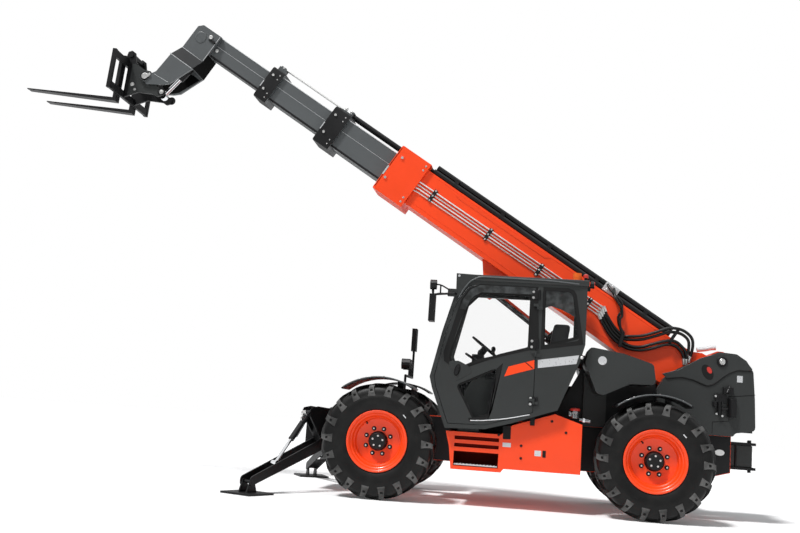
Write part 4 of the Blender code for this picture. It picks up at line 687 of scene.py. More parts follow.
# Pipes' ways (u, w) from the boom's front to their unions, of the uppermost and the lowest one
PIPE_UPPER = ((4.285, -0.585), (4.262, -0.440), (4.215, -0.285), (4.12, -0.252), (2.056, -0.239),
              (1.46, -0.232))
PIPE_LOWER = ((4.205, -0.590), (4.190, -0.480), (4.150, -0.395), (4.07, -0.372), (2.208, -0.347),
              (1.46, -0.342))
PIPE_COUNT = 4
PIPE_BENT_POINTS = 4
PIPE_RADIUS = 0.0085
PIPE_OUT = 0.011
PIPE_CLAMPS_U = (3.885, 3.05, 2.30, 1.60)
PIPE_CLAMP_SIZE = (0.045, 0.024, 0.165)
PIPE_CLAMP_BOLTS_W = (-0.302, -0.232, -0.372)
# Pipe union: start and end beyond the pipe's end, radius, sides
UNION_PARTS = ((0.010, -0.035, 0.014, 6), (-0.030, -0.060, 0.011, 14))


def blend(first, second, share):
    """The point at a share of the way between two points."""
    return tuple(a + (b - a) * share for a, b in zip(first, second))


def boom_pipes():
    """Four steel pipes along the base section's side, with their clamps and unions."""
    pipes = Shape()
    shares = [k / (PIPE_COUNT - 1) for k in range(PIPE_COUNT)]
    for share in shares:
        ways = (blend(a, b, share) for a, b in zip(PIPE_UPPER, PIPE_LOWER))
        path = [Vector((u, BASE_SIDE + PIPE_OUT, w)) for u, w in ways]
        path[:PIPE_BENT_POINTS] = curve_through(path[:PIPE_BENT_POINTS], 5)
        pipes.pipe(path, PIPE_RADIUS, 10)
    piece("boom_pipes", pipes, STEEL, "boom_base", BOOM)
    clamps = Shape()
    nuts = Shape()
    for u in PIPE_CLAMPS_U:
        clamps.slab((u, BASE_SIDE + 0.010, PIPE_CLAMP_BOLTS_W[0]), PIPE_CLAMP_SIZE)
        nuts.bolts([(u, w) for w in PIPE_CLAMP_BOLTS_W], BASE_SIDE + 0.022, 0.009)
    piece("boom_pipe_clamps", clamps, BLACK, "boom_base", BOOM, 0.003)
    piece("boom_pipe_clamp_bolts", nuts, STEEL, "boom_base", BOOM)
    ends = Shape()
    y = BASE_SIDE + 0.012
    for share in shares:
        u, w = blend(PIPE_UPPER[-1], PIPE_LOWER[-1], share)
        for start, end, radius, sides in UNION_PARTS:
            ends.rod((u + start, y, w), (u + end, y, w), radius, sides)
    piece("boom_pipe_unions", ends, STEEL, "boom_base", BOOM, 0.001)


# Hoses: way (u, w) from the pipe over the clamps and the pivot, and its bow outwards
HOSE_WAYS = (
    (((1.41, -0.236), (1.338, -0.289), (1.181, -0.358), (1.050, -0.378), (1.000, -0.350), (0.881, -0.257),
      (0.785, -0.141), (0.673, 0.004), (0.543, 0.070), (0.416, 0.062), (0.341, -0.012), (0.279, -0.167)),
     0.060),
    (((1.41, -0.272), (1.30, -0.330), (1.170, -0.392), (1.060, -0.408), (0.985, -0.382), (0.865, -0.297),
      (0.765, -0.181), (0.655, -0.040), (0.543, 0.024), (0.436, 0.020), (0.375, -0.040), (0.315, -0.167)),
     0.045),
    (((1.41, -0.308), (1.30, -0.372), (1.165, -0.428), (1.040, -0.444), (0.924, -0.430), (0.817, -0.368),
      (0.735, -0.270), (0.612, -0.130), (0.522, -0.082), (0.406, -0.098), (0.330, -0.150), (0.290, -0.210)),
     0.040),
    (((1.41, -0.342), (1.30, -0.405), (1.160, -0.462), (1.030, -0.478), (0.924, -0.466), (0.812, -0.410),
      (0.715, -0.320), (0.602, -0.178), (0.512, -0.128), (0.412, -0.140), (0.350, -0.180), (0.318, -0.225)),
     0.030),
)
HOSE_RADIUS = 0.0178
HOSE_OUT = 0.019
# Hose end's sleeve and nut: start and end along the hose, radius, sides
HOSE_END_PARTS = ((-0.012, 0.045, 0.0205, 16), (-0.028, -0.006, 0.0195, 6))
# Hose straps: middle (u, w) and lean
HOSE_STRAPS = ((1.045, -0.428, 0.35), (0.585, -0.050, 0.0))
STRAP_HALF_TALL = 0.088
STRAP_HALF_LONG = 0.018
STRAP_THICK = 0.006
STRAPS_OUT = (0.062, 0.098)
STRAP_BAR_SHARE = 0.9
STRAP_BAR_RADIUS = 0.008
VALVE_BLOCK = ((1.385, 0.094, -0.052), (1.57, 0.140, 0.066))
VALVE_FITTINGS = ((1.42, 0.030), (1.48, 0.036), (1.54, 0.030), (1.45, -0.025), (1.52, -0.025))
# Valve fitting: start and end y, radius, sides
FITTING_PARTS = ((0.135, 0.160, 0.013, 6), (0.155, 0.172, 0.010, 12))
VALVE_HOSE_START_Y = 0.165
VALVE_HOSE_RADIUS = 0.0155
VALVE_HOSE_WAYS = (
    ((1.545, 0.030), (1.43, -0.030), (1.290, -0.068), (1.235, -0.150), (1.225, -0.225), (1.160, -0.300),
     (1.068, -0.345)),
    ((1.455, 0.030), (1.38, -0.065), (1.262, -0.120), (1.200, -0.190), (1.190, -0.250), (1.130, -0.325),
     (1.058, -0.372)),
)


def hose_ends(path):
    """A steel sleeve and a nut on each end of a hose."""
    ends = Shape()
    for end, other in ((path[0], path[1]), (path[-1], path[-2])):
        way = (Vector(other) - Vector(end)).normalized()
        for low, high, radius, sides in HOSE_END_PARTS:
            ends.rod(Vector(end) + way * low, Vector(end) + way * high, radius, sides)
    return ends


def hose_straps():
    """Pairs of straps that hold the hoses, each with two bars from the boom's side."""
    shape = Shape()
    for u, w, lean in HOSE_STRAPS:
        across = Vector((math.sin(lean), 0.0, math.cos(lean))) * STRAP_HALF_TALL
        ahead = Vector((math.cos(lean), 0.0, -math.sin(lean))) * STRAP_HALF_LONG
        for out in STRAPS_OUT:
            middle_point = Vector((u, BASE_SIDE + out, w))
            corners = [middle_point + across * a + ahead * b for a, b in ((-1, -1), (1, -1), (1, 1), (-1, 1))]
            shape.loft([[corner + Vector(LEFTWARD) * shift for corner in corners]
                        for shift in (0.0, STRAP_THICK)])
        inner, outer = (Vector((u, y, w)) for y in (BASE_SIDE, BASE_SIDE + STRAPS_OUT[1] + STRAP_THICK))
        for share in (STRAP_BAR_SHARE, -STRAP_BAR_SHARE):
            shape.rod(inner + across * share, outer + across * share, STRAP_BAR_RADIUS, 10)
    return shape


def boom_hoses():
    """Hoses from the pipes to the pivot, in arches that ride on the base section, and the valve block."""
    for k, (way_points, bow) in enumerate(HOSE_WAYS):
        path = []
        for i, (u, w) in enumerate(way_points):
            lift = math.sin(math.pi * i / (len(way_points) - 1))
            path.append((u, BASE_SIDE + HOSE_OUT + bow * lift, w))
        number = str(k + 1)
        piece("boom_hose_" + number, Shape().pipe(path, HOSE_RADIUS, 14, 7), HOSE, "boom_base", BOOM)
        piece("boom_hose_ends_" + number, hose_ends(path), STEEL, "boom_base", BOOM, 0.001)
    piece("boom_hose_clamps", hose_straps(), BLACK, "boom_base", BOOM, 0.002)
    piece("boom_valve_block", Shape().box(*VALVE_BLOCK), WHITE_LINE, "boom_base", BOOM, 0.006)
    fittings = Shape()
    for u, w in VALVE_FITTINGS:
        for start, end, radius, sides in FITTING_PARTS:
            fittings.rod((u, start, w), (u, end, w), radius, sides)
    piece("boom_valve_fittings", fittings, STEEL, "boom_base", BOOM, 0.001)
    for k, way_points in enumerate(VALVE_HOSE_WAYS):
        first, *others = way_points
        out = BASE_SIDE + 0.040 + 0.030 * k
        points = [at("Y", VALVE_HOSE_START_Y, first), *(at("Y", out, pair) for pair in others)]
        hose = Shape().pipe(points, VALVE_HOSE_RADIUS, 12, 7)
        piece("boom_valve_hose_" + str(k + 1), hose, HOSE, "boom_base", BOOM)


# Collar: body, half width, top, low, rear, front, two bolts' places (u, w)
COLLARS = (
    ("boom_base", 0.235, 0.000, -0.645, 4.12, 4.55, ((4.47, -0.135), (4.50, -0.455))),
    ("boom_section_2", 0.200, -0.068, -0.580, 5.33, 5.56, ((5.505, -0.165), (5.50, -0.425))),
    ("boom_section_3", 0.165, -0.100, -0.550, 6.38, 6.56, ((6.505, -0.195), (6.505, -0.410))),
)
INNER_HALF = (0.160, 0.130, 0.100)
COLLAR_PAD = ((-0.004, 0.030), (0.006, 0.030), (0.009, 0.026))
COLLAR_BOLT_RADIUS = 0.0125
COLLAR_SMALL_BOLT_RADIUS = 0.0095
COLLAR_TOP_BOLT_RADIUS = 0.011
# Small bolts on the collar's sides: distance in from its rear, and from its top and low edge
EDGE_BOLT_IN = 0.045
EDGE_BOLTS = (0.055, 0.115)
# Bolts on the collar's top: share of its half width, distance in from its ends
TOP_BOLT_SHARE = 0.55
TOP_BOLT_IN = 0.05
SLEEVE_THICK = 0.004
# Opening at the collar's front: room round the section inside, wall below and above
HOLE_ROOM = 0.010
HOLE_LOW_WALL = 0.055
HOLE_TOP_WALL = 0.050
# Wear pads on the section inside: share of the collar's height, share it is tall
WEAR_PADS = ((0.40, 0.22), (0.78, 0.12))


def collars():
    """Bolts, wear pads and edge strips at the front of each section."""
    for k, (body, half, top, low, rear, front, spots) in enumerate(COLLARS):
        look = BLACK if k else ORANGE
        number = str(k + 1)
        bolts = Shape()
        plates = Shape()
        edge_spots = [(rear + EDGE_BOLT_IN, w) for w in
                      (*(top - inside for inside in EDGE_BOLTS), *(low + inside for inside in EDGE_BOLTS))]
        for side in (1, -1):
            for u, w in spots:
                plates.turned((u, side * half, w), outward(side), COLLAR_PAD, 28)
            bolts.bolts(spots, half + 0.010, COLLAR_BOLT_RADIUS, side)
            bolts.bolts(edge_spots, half, COLLAR_SMALL_BOLT_RADIUS, side)
        for y in (-half * TOP_BOLT_SHARE, half * TOP_BOLT_SHARE):
            for u in (rear + TOP_BOLT_IN, front - TOP_BOLT_IN):
                bolts.bolt((u, y, top), UPWARD, COLLAR_TOP_BOLT_RADIUS)
        piece("collar_pads_" + number, plates, look, body, BOOM, 0.001)
        piece("collar_bolts_" + number, bolts, STEEL, body, BOOM)
        corners = [(-half, low), (half, low), (half, top), (-half, top)]
        if k:
            shell = rounded(corners, 0.012, 4)
            sleeve = Shape().frame("X", inset(shell, -SLEEVE_THICK), shell, rear - 0.003, front + 0.002)
            piece("collar_sleeve_" + number, sleeve, BLACK, body, BOOM, 0.002)
        hole_half = INNER_HALF[k] + HOLE_ROOM
        hole_low, hole_top = low + HOLE_LOW_WALL, top - HOLE_TOP_WALL
        hole = rounded([(-hole_half, hole_low), (hole_half, hole_low), (hole_half, hole_top),
                        (-hole_half, hole_top)], 0.02, 6)
        rim = Shape().frame("X", rounded(corners, 0.03, 6), hole, front - 0.012, front + 0.010)
        piece("collar_rim_" + number, rim, look, body, BOOM, 0.003)
        wear = Shape()
        span = top - low
        for side in (1, -1):
            y = side * (INNER_HALF[k] + 0.004)
            for share, tall in WEAR_PADS:
                wear.slab((front + 0.002, y, low + span * share), (0.04, 0.008, span * tall))
            wear.slab((front + 0.004, side * (half + 0.001), low + span * 0.42), (0.018, 0.004, span * 0.20))
        piece("collar_wear_pads_" + number, wear, WHITE_LINE, body, BOOM, 0.001)


BASE_SEAMS_W = (-0.095, -0.515)
BASE_SEAM_SPAN = (0.62, 4.12)
BASE_DOUBLER = (
    (3.70, -0.120), (3.60, -0.150), (2.33, -0.145), (2.285, -0.110), (2.285, -0.100), (3.60, -0.100),
)
# Share of a section's height at which its middle seam runs, from the top; it is drawn as a thin bright weld line,
# partly a painted highlight
MIDDLE_SEAM = 0.42
# Section: body, half width, top, low, visible from, visible to
SECTIONS = (
    ("boom_section_2", 0.160, -0.115, -0.520, 1.6, 5.33),
    ("boom_section_3", 0.130, -0.146, -0.482, 2.6, 6.38),
    ("boom_section_4", 0.100, -0.177, -0.460, 3.4, 7.40),
)


def section_side_lines():
    """A bright line on each top edge of the sections' sides, a painted highlight, a thin bright weld line at the
    middle seam, partly a painted highlight, and a dark strip along each lower edge.
    """
    for k, (body, half, top, low, start, end) in enumerate(SECTIONS):
        thin_lines = Shape()
        edges = Shape()
        middle_w = top - MIDDLE_SEAM * (top - low)
        for side in (1, -1):
            y = side * (half - 0.0005)
            # Top-edge line: a painted highlight; middle line: a weld seam drawn bright, partly a painted highlight
            thin_lines.pipe([(u, y + side * 0.001, top - 0.002) for u in (start, end)], 0.0055, 8)
            thin_lines.pipe([(u, y, middle_w) for u in (start, end)], 0.0022, 6)
            edges.slab(((start + end) / 2, side * (half + 0.0008), low + 0.012), (end - start, 0.0024, 0.026))
        piece("section_highlight_lines_" + str(k + 2), thin_lines, WHITE_LINE, body, BOOM)
        piece("section_low_edges_" + str(k + 2), edges, BLACK, body, BOOM)
    thin_lines = Shape()
    start, end = BASE_SEAM_SPAN
    for side in (1, -1):
        y = side * (BASE_SIDE - 0.0005)
        for w in BASE_SEAMS_W:
            thin_lines.pipe(((start, y, w), (end, y, w)), 0.004, 6)
    piece("base_seams", thin_lines, ORANGE, "boom_base", BOOM)
    panel = Shape().prism("Y", rounded(BASE_DOUBLER, 0.02, 3), BASE_SIDE - 0.002, BASE_SIDE + 0.006)
    piece("base_side_doubler", panel, ORANGE, "boom_base", BOOM, 0.002)


# The hose tubes on section 2 and the rod on section 3, each inside the one behind it
GUIDE_PIECES = (
    ("guide_tube_2", BLACK, "boom_section_2", 0.001, (
        (Shape.rod, (1.55, 0.075, -0.034), (5.345, 0.075, -0.034), 0.028, 24),
        (Shape.turned, (5.335, 0.075, -0.034), FORWARD, ((0.0, 0.036), (0.03, 0.036), (0.036, 0.030)), 24))),
    ("guide_rod_3", STEEL, "boom_section_3", 0.0, (
        (Shape.rod, (2.62, 0.075, -0.035), (6.47, 0.075, -0.035), 0.0125, 18),)),
    ("guide_tube_2_right", BLACK, "boom_section_2", 0.0, (
        (Shape.rod, (1.55, -0.075, -0.034), (5.345, -0.075, -0.034), 0.024, 20),)),
    ("guide_bracket_2", BOOM_GREY, "boom_section_2", 0.004, (
        (Shape.slab, (5.44, 0.075, -0.054), (0.14, 0.09, 0.040)),
        (Shape.slab, (5.36, 0.075, -0.034), (0.026, 0.080, 0.082)),
        (Shape.slab, (5.44, -0.075, -0.054), (0.14, 0.09, 0.040)),
        (Shape.slab, (5.36, -0.075, -0.034), (0.026, 0.080, 0.082)))),
    ("guide_bracket_caps_2", STEEL, "boom_section_2", 0.0, (
        (Shape.ball, (5.478, 0.075, -0.004), 0.024, 20), (Shape.ball, (5.40, 0.075, -0.004), 0.018, 20))),
    ("guide_bracket_3", BOOM_GREY, "boom_section_3", 0.004, (
        (Shape.slab, (6.47, 0.075, -0.070), (0.12, 0.075, 0.066)),
        (Shape.prism, "Y", ((6.42, -0.105), (6.54, -0.105), (6.51, -0.020), (6.44, -0.020)), 0.045, 0.105))),
    ("guide_bracket_caps_3", STEEL, "boom_section_3", 0.0, (
        (Shape.ball, (6.565, 0.095, -0.106), 0.022, 20),
        (Shape.rod, (6.47, 0.035, -0.034), (6.47, 0.115, -0.034), 0.012, 14))),
)


boom_pipes()
boom_hoses()
collars()
section_side_lines()
pieces_from(GUIDE_PIECES, BOOM)


# Boom head and carriage

HEAD_SIDE = 0.165
HEAD_WIDE = 0.230
# Stations down the head's back (u, half width, w), where a matt black sheet paints the shade of the open head
HEAD_BACK = ((7.390, 0.164, -0.465), (7.390, 0.164, -0.571), (7.4184, 0.229, -0.7314))
# Matt black sheet on the inner face of each wide plate, painted shade inside the head: its outline (u, w)
HEAD_INNER_SHADE_OUTLINE = (
    (7.450, -0.765), (7.775, -0.765), (7.795, -1.020), (7.870, -1.150), (7.800, -1.225), (7.640, -1.118),
    (7.575, -1.055),
)
# Corners of the bent face between the head's narrow and wide halves (u, y, w), covered by a darker grey sheet that
# paints its shade
HEAD_FOLD = (
    (7.391, HEAD_SIDE, -0.5705), (7.745, HEAD_SIDE, -0.5705), (7.783, HEAD_WIDE, -0.7300),
    (7.418, HEAD_WIDE, -0.7300),
)
# Bright line along a seam of the head, a painted highlight: whether it is on the wide half, start and end (u, w),
# radius
HEAD_SEAM_HIGHLIGHTS = (
    (False, (7.40, -0.578), (7.742, -0.572), 0.0045), (True, (7.43, -0.738), (7.80, -0.735), 0.0045),
    (False, (7.405, -0.185), (7.400, -0.565), 0.004), (True, (7.800, -1.076), (7.570, -1.060), 0.003),
)
HEAD_DISC = (7.620, -0.330)
HEAD_DISC_PROFILE = (
    (-0.002, 0.078), (0.004, 0.078), (0.006, 0.075), (0.006, 0.060), (0.004, 0.058), (0.004, 0.0),
)
HEAD_PIN = (7.503, -0.256)
HEAD_PIN_PROFILE = ((-0.002, 0.027), (0.018, 0.027), (0.026, 0.018))
HEAD_HOOK = (7.42, -0.292)
SECTION_END_BOLT = (7.358, -0.347)
SECTION_END_SIDE = 0.100
HEAD_BOSS = (7.886, -1.170)
HEAD_BOSS_PROFILE = ((-0.004, 0.062), (0.004, 0.062), (0.007, 0.058))
TILT_HOSES_Y = (0.030, -0.030)
# Tilt hose: u, distance beside its start, w
TILT_HOSE_WAY = (
    (7.405, 0.0, -0.300), (7.46, 0.0, -0.40), (7.455, 0.035, -0.52), (7.47, 0.060, -0.66),
    (7.50, 0.050, -0.80),
)
COUPLER_SIDE = 0.192
COUPLER_SCALE = 0.348
# Outline of the carriage's cheek plates, in shares of the scale
COUPLER_OUTLINE = (
    (-0.76, -0.50), (-0.70, -0.64), (-0.56, -0.70), (-0.40, -0.62), (0.20, -0.60), (0.60, -0.78),
    (0.60, 0.46), (0.46, 0.46), (0.10, 0.27), (-0.14, 0.24), (-0.26, 0.10), (-0.36, -0.20),
)


def head_details():
    """Bright lines on the seams, a painted highlight; a darker grey on the folded faces and matt black sheets on
    the back and inside, painted shade; discs, pins and bosses of the head, and the tilt cylinder's hoses.
    """
    body = "boom_section_4"
    thin_lines = Shape()
    folds = Shape()
    inner_shade = Shape()
    discs = Shape()
    pins = Shape()
    hooks = Shape()
    bosses = Shape()
    for side in (1, -1):
        out = outward(side)
        # Bright lines along the seams: painted highlights
        for wide, start, end, radius in HEAD_SEAM_HIGHLIGHTS:
            y = side * ((HEAD_WIDE if wide else HEAD_SIDE) + 0.0005)
            thin_lines.pipe((at("Y", y, start), at("Y", y, end)), radius, 6)
        folds.loft([[(u, side * (y + lift), w + 0.4 * lift) for u, y, w in HEAD_FOLD]
                    for lift in (-0.0005, 0.0014)])
        inner_shade.side_plate(HEAD_INNER_SHADE_OUTLINE, side, HEAD_WIDE - 0.0312, HEAD_WIDE - 0.0302)
        discs.turned(at("Y", side * HEAD_SIDE, HEAD_DISC), out, HEAD_DISC_PROFILE, 40)
        pins.turned(at("Y", side * HEAD_SIDE, HEAD_PIN), out, HEAD_PIN_PROFILE, 24)
        pins.bolts([SECTION_END_BOLT], SECTION_END_SIDE, 0.018, side)
        u, w = HEAD_HOOK
        hooks.slab((u + 0.042, side * (HEAD_SIDE + 0.006), w), (0.090, 0.014, 0.030))
        hooks.rod((u, side * HEAD_SIDE, w), (u, side * (HEAD_SIDE + 0.035), w), 0.020, 18)
        bosses.turned(at("Y", side * HEAD_WIDE, HEAD_BOSS), out, HEAD_BOSS_PROFILE, 36)
    # Matt black sheet across the head's back: painted shade of the open head
    back = Shape().loft([[(u - 0.0028, -half, w - 0.0015), (u - 0.0028, half, w - 0.0015),
                          (u + 0.001, half, w + 0.001), (u + 0.001, -half, w + 0.001)]
                         for u, half, w in HEAD_BACK])
    piece("head_seam_highlights", thin_lines, WHITE_LINE, body, BOOM)
    piece("head_fold_faces", folds, FOLD_SHADE_GREY, body, BOOM)
    piece("head_back_shade", back, SHADE_BLACK, body, BOOM)
    piece("head_inner_shade", inner_shade, SHADE_BLACK, body, BOOM)
    piece("head_side_discs", discs, BOOM_GREY, body, BOOM)
    piece("head_pins", pins, STEEL, body, BOOM, 0.001)
    piece("head_pin_rings", hooks, BLACK, body, BOOM, 0.002)
    piece("head_bosses", bosses, BOOM_GREY, body, BOOM)
    lines = Shape()
    for y in TILT_HOSES_Y:
        lines.pipe([(u, y + beside, w) for u, beside, w in TILT_HOSE_WAY], 0.009, 10, 6)
    piece("tilt_hoses", lines, HOSE, body, BOOM)


COUPLER_PIN_PROFILE = ((0.0, 0.040), (0.016, 0.040), (0.020, 0.036))
# Flag that keeps the carriage's pin from turning, and its lean
PIN_FLAG = ((0.022, 0.034), (-0.020, 0.034), (-0.075, 0.012), (-0.085, -0.012), (-0.020, -0.036),
            (0.022, -0.034))
PIN_FLAG_LEAN_DEG = -22.0
FLAG_BOLT = (-0.066, 0.030)
# Bolt on the carriage's cheek: place, radius
CHEEK_BOLTS = (((0.163, -0.115), 0.020), ((0.120, -0.180), 0.013))
TILT_EYE = (-0.245, -0.175)
TILT_EYE_PIN_PROFILE = ((-0.002, 0.030), (0.003, 0.030), (0.0046, 0.026))
TILT_EYE_RING_PROFILE = ((-0.004, 0.052), (0.0045, 0.052), (0.0055, 0.048))


def coupler_details():
    """The carriage's pin heads, cheek plates and the rings round the tilt cylinder's eye."""
    pins = Shape()
    plates = Shape()
    rings = Shape()
    flag = leaning(PIN_FLAG, math.radians(PIN_FLAG_LEAN_DEG))
    outline = [(a * COUPLER_SCALE, b * COUPLER_SCALE) for a, b in COUPLER_OUTLINE]
    face = COUPLER_SIDE + 0.0042
    for side in (1, -1):
        out = outward(side)
        pins.turned((0.0, side * (HEAD_WIDE + 0.004), 0.0), out, COUPLER_PIN_PROFILE, 32)
        pins.side_plate(flag, side, HEAD_WIDE + 0.010, HEAD_WIDE + 0.018)
        pins.bolts([FLAG_BOLT], HEAD_WIDE + 0.018, 0.010, side)
        pins.turned(at("Y", side * (COUPLER_SIDE + 0.002), TILT_EYE), out, TILT_EYE_PIN_PROFILE, 28)
        for spot, radius in CHEEK_BOLTS:
            pins.bolts([spot], face, radius, side)
        plates.side_plate(outline, side, COUPLER_SIDE, COUPLER_SIDE + 0.0045)
        rings.turned(at("Y", side * COUPLER_SIDE, TILT_EYE), out, TILT_EYE_RING_PROFILE, 32)
    piece("coupler_pin_heads", pins, STEEL, "coupler", COUPLER, 0.001)
    piece("coupler_side_plates", plates, GREY, "coupler", COUPLER, 0.001)
    piece("coupler_rings", rings, BLACK, "coupler", COUPLER)


head_details()
coupler_details()


# Wheels' rims

# Rim profile: y, radius
RIM_PROFILE = (
    (0.052, 0.0), (0.052, 0.232), (0.055, 0.243), (0.064, 0.250), (0.098, 0.257), (0.106, 0.266),
    (0.112, 0.272), (0.146, 0.279), (0.153, 0.286), (0.158, 0.296), (0.178, 0.306), (0.187, 0.318),
    (0.191, 0.330), (0.188, 0.337), (0.182, 0.338), (0.176, 0.333), (0.168, 0.316), (-0.168, 0.316),
    (-0.176, 0.333), (-0.182, 0.338), (-0.188, 0.337), (-0.191, 0.330), (-0.187, 0.318), (-0.170, 0.302),
    (-0.06, 0.275), (0.030, 0.262), (0.036, 0.235), (0.036, 0.0),
)
RIM_STEPS = 112
# Blank mark on the left tyres' sidewalls: section (radius, y), first angle and step
MARK_SECTION = ((0.405, 0.1965), (0.416, 0.1975), (0.416, 0.2000), (0.405, 0.1990))
MARK_START_DEG = 132.0
MARK_STEP_DEG = 1.6
MARK_STATIONS = 5


def rims():
    """Turned rims in the solids' place, and a blank mark on each left sidewall."""
    for name, side in WHEELS:
        body = "wheel_" + name
        place = wheel_frame(name, side)
        shape = Shape().turned((0.0, 0.0, 0.0), LEFTWARD, RIM_PROFILE, RIM_STEPS)
        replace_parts(piece("wheel_rim_" + name, shape, ORANGE, body, place), "rim_" + name)
        if side > 0:
            angles = [math.radians(MARK_START_DEG + MARK_STEP_DEG * k) for k in range(MARK_STATIONS)]
            mark = Shape().loft([[polar(radius, y, angle) for radius, y in MARK_SECTION] for angle in angles])
            piece("sidewall_mark_" + name, mark, WHITE_LINE, body, place)


rims()


# Fenders

FENDER_EDGE_RADIUS = 0.007
FENDER_BOLTS_DEG = (70.0, 92.0, 112.0)
FENDER_EDGE_DEG = (54.0, 120.0)
FENDER_EDGE_STEPS = 24


def fender_edges():
    """A rolled edge along each fender's outer side, in a lighter grey that paints its highlight, with the bolts
    that hold it to its struts.
    """
    first, last = FENDER_EDGE_DEG
    for name, side in WHEELS:
        low, high = (Vector(corner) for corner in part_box("knuckle_fender_" + name))
        wheel = middle("rim_" + name)
        top = high.z - wheel.z
        y = high.y if side > 0 else low.y
        bolts = Shape()
        for degrees in FENDER_BOLTS_DEG:
            out = polar(1.0, 0.0, math.radians(degrees))
            bolts.bolt((wheel.x + out.x * top, y - side * 0.06, wheel.z + out.z * top), out, 0.009)
        piece("fender_bolts_" + name, bolts, STEEL, "knuckle_" + name, Matrix.Identity(4))
        path = []
        for k in range(FENDER_EDGE_STEPS + 1):
            angle = math.radians(first + (last - first) * k / FENDER_EDGE_STEPS)
            path.append(Vector((wheel.x, y, wheel.z)) + polar(top - 0.004, 0.0, angle))
        # Lighter grey rolled edge: a painted highlight
        edge = Shape().pipe(path, FENDER_EDGE_RADIUS, 10)
        piece("fender_edge_highlight_" + name, edge, BOOM_GREY, "knuckle_" + name, Matrix.Identity(4))


fender_edges()


# Cab

CAB_SIDE = 1.100
ROOF_SIDE = 1.120
CAB_LOW_CORNER = (0.78, 0.83)
CAB_HIGH_CORNER = (2.46, 2.47)
# Glass outlines, in shares of the way between the cab's corners
DOOR_WINDOW = (
    (0.355, 0.93), (0.355, 0.56), (0.545, 0.50), (0.845, 0.375), (0.885, 0.47), (0.785, 0.83), (0.69, 0.93),
)
LOW_GLASS = ((0.55, 0.43), (0.595, 0.10), (0.70, 0.065), (0.825, 0.29))
QUARTER = ((0.08, 0.985), (0.03, 0.65), (0.28, 0.565), (0.29, 0.985))
# Pairs of outer and inner points (x, z) round the door window's and the quarter window's black surround
DOOR_SURROUND = (
    ((1.318, 2.440), (1.392, 2.340)), ((1.300, 2.100), (1.384, 2.100)), ((1.280, 1.765), (1.384, 1.765)),
    ((1.50, 1.700), (1.50, 1.722)), ((1.70, 1.640), (1.70, 1.668)), ((1.95, 1.560), (1.95, 1.598)),
    ((2.180, 1.470), (2.175, 1.480)), ((2.310, 1.560), (2.245, 1.560)), ((2.322, 1.660), (2.250, 1.640)),
    ((2.255, 1.900), (2.205, 1.850)), ((2.227, 2.009), (2.160, 2.020)), ((2.157, 2.260), (2.082, 2.200)),
    ((2.077, 2.380), (2.030, 2.270)), ((1.957, 2.440), (1.940, 2.340)), ((1.640, 2.440), (1.640, 2.340)),
)
QUARTER_SURROUND = (
    ((1.262, 2.440), (1.235, 2.400)), ((0.985, 2.440), (0.985, 2.400)), ((0.925, 2.420), (0.950, 2.380)),
    ((0.895, 2.370), (0.925, 2.330)), ((0.865, 2.200), (0.895, 2.200)), ((0.808, 1.870), (0.850, 1.890)),
    ((0.800, 1.832), (0.866, 1.868)), ((1.030, 1.790), (1.030, 1.832)), ((1.262, 1.748), (1.232, 1.790)),
    ((1.262, 2.100), (1.236, 2.100)),
)


LOW_SURROUND = (
    (1.729, 1.509), (1.660, 1.577), (1.795, 0.936), (1.995, 0.917), (2.009, 0.955), (1.961, 0.961),
    (1.798, 0.991), (1.753, 1.057), (1.727, 1.472),
)
DOOR_SUN_BAND = (
    (1.345, 2.425), (1.957, 2.425), (2.065, 2.370), (2.140, 2.255), (2.170, 2.150), (2.105, 2.140),
    (2.070, 2.230), (2.020, 2.300), (1.935, 2.345), (1.345, 2.352),
)
# Seal: gap round the glass, corner radius, steps in a corner, width, thickness
DOOR_WINDOW_SEAL = (0.004, 0.05, 5, 0.030, 0.010)
LOW_GLASS_SEAL = (0.004, 0.035, 4, 0.026, 0.010)
QUARTER_SEAL = (0.006, 0.05, 6, 0.040, 0.008)
# Black strip in the gap behind the door: middle, size
DOOR_GAP_STRIP = ((1.309, CAB_SIDE - 0.050, 1.66), (0.050, 0.026, 1.48))
QUARTER_SUN_BAND = (
    (1.255, 2.42), (0.97, 2.42), (0.915, 2.34), (0.885, 2.12), (1.05, 2.20), (1.17, 2.235), (1.255, 2.20),
)


def seal_ring(shape, outline, gap, radius, steps, width, thick, face):
    """A rubber frame round a glass outline, from just inside the glass's face."""
    outer = rounded(inset(on_cab(outline), -gap), radius, steps)
    return shape.frame("Y", outer, inset(outer, width), face - 0.001, face + thick)


def mottled():
    """Dark perforated sun band with a cloudy print."""
    look = base_material("sun_band", (0.02, 0.022, 0.023), 0.45)
    vary_colour(look, (0.006, 0.007, 0.007), (0.050, 0.055, 0.056), 14.0, 0.38, 0.66)
    look.node_tree.nodes["Principled BSDF"].inputs["Alpha"].default_value = 0.93
    return look


SUN_BAND = mottled()


def on_cab(shares):
    """Places (x, z) on the cab's side from shares of its outline box."""
    return spread(shares, CAB_LOW_CORNER, CAB_HIGH_CORNER)


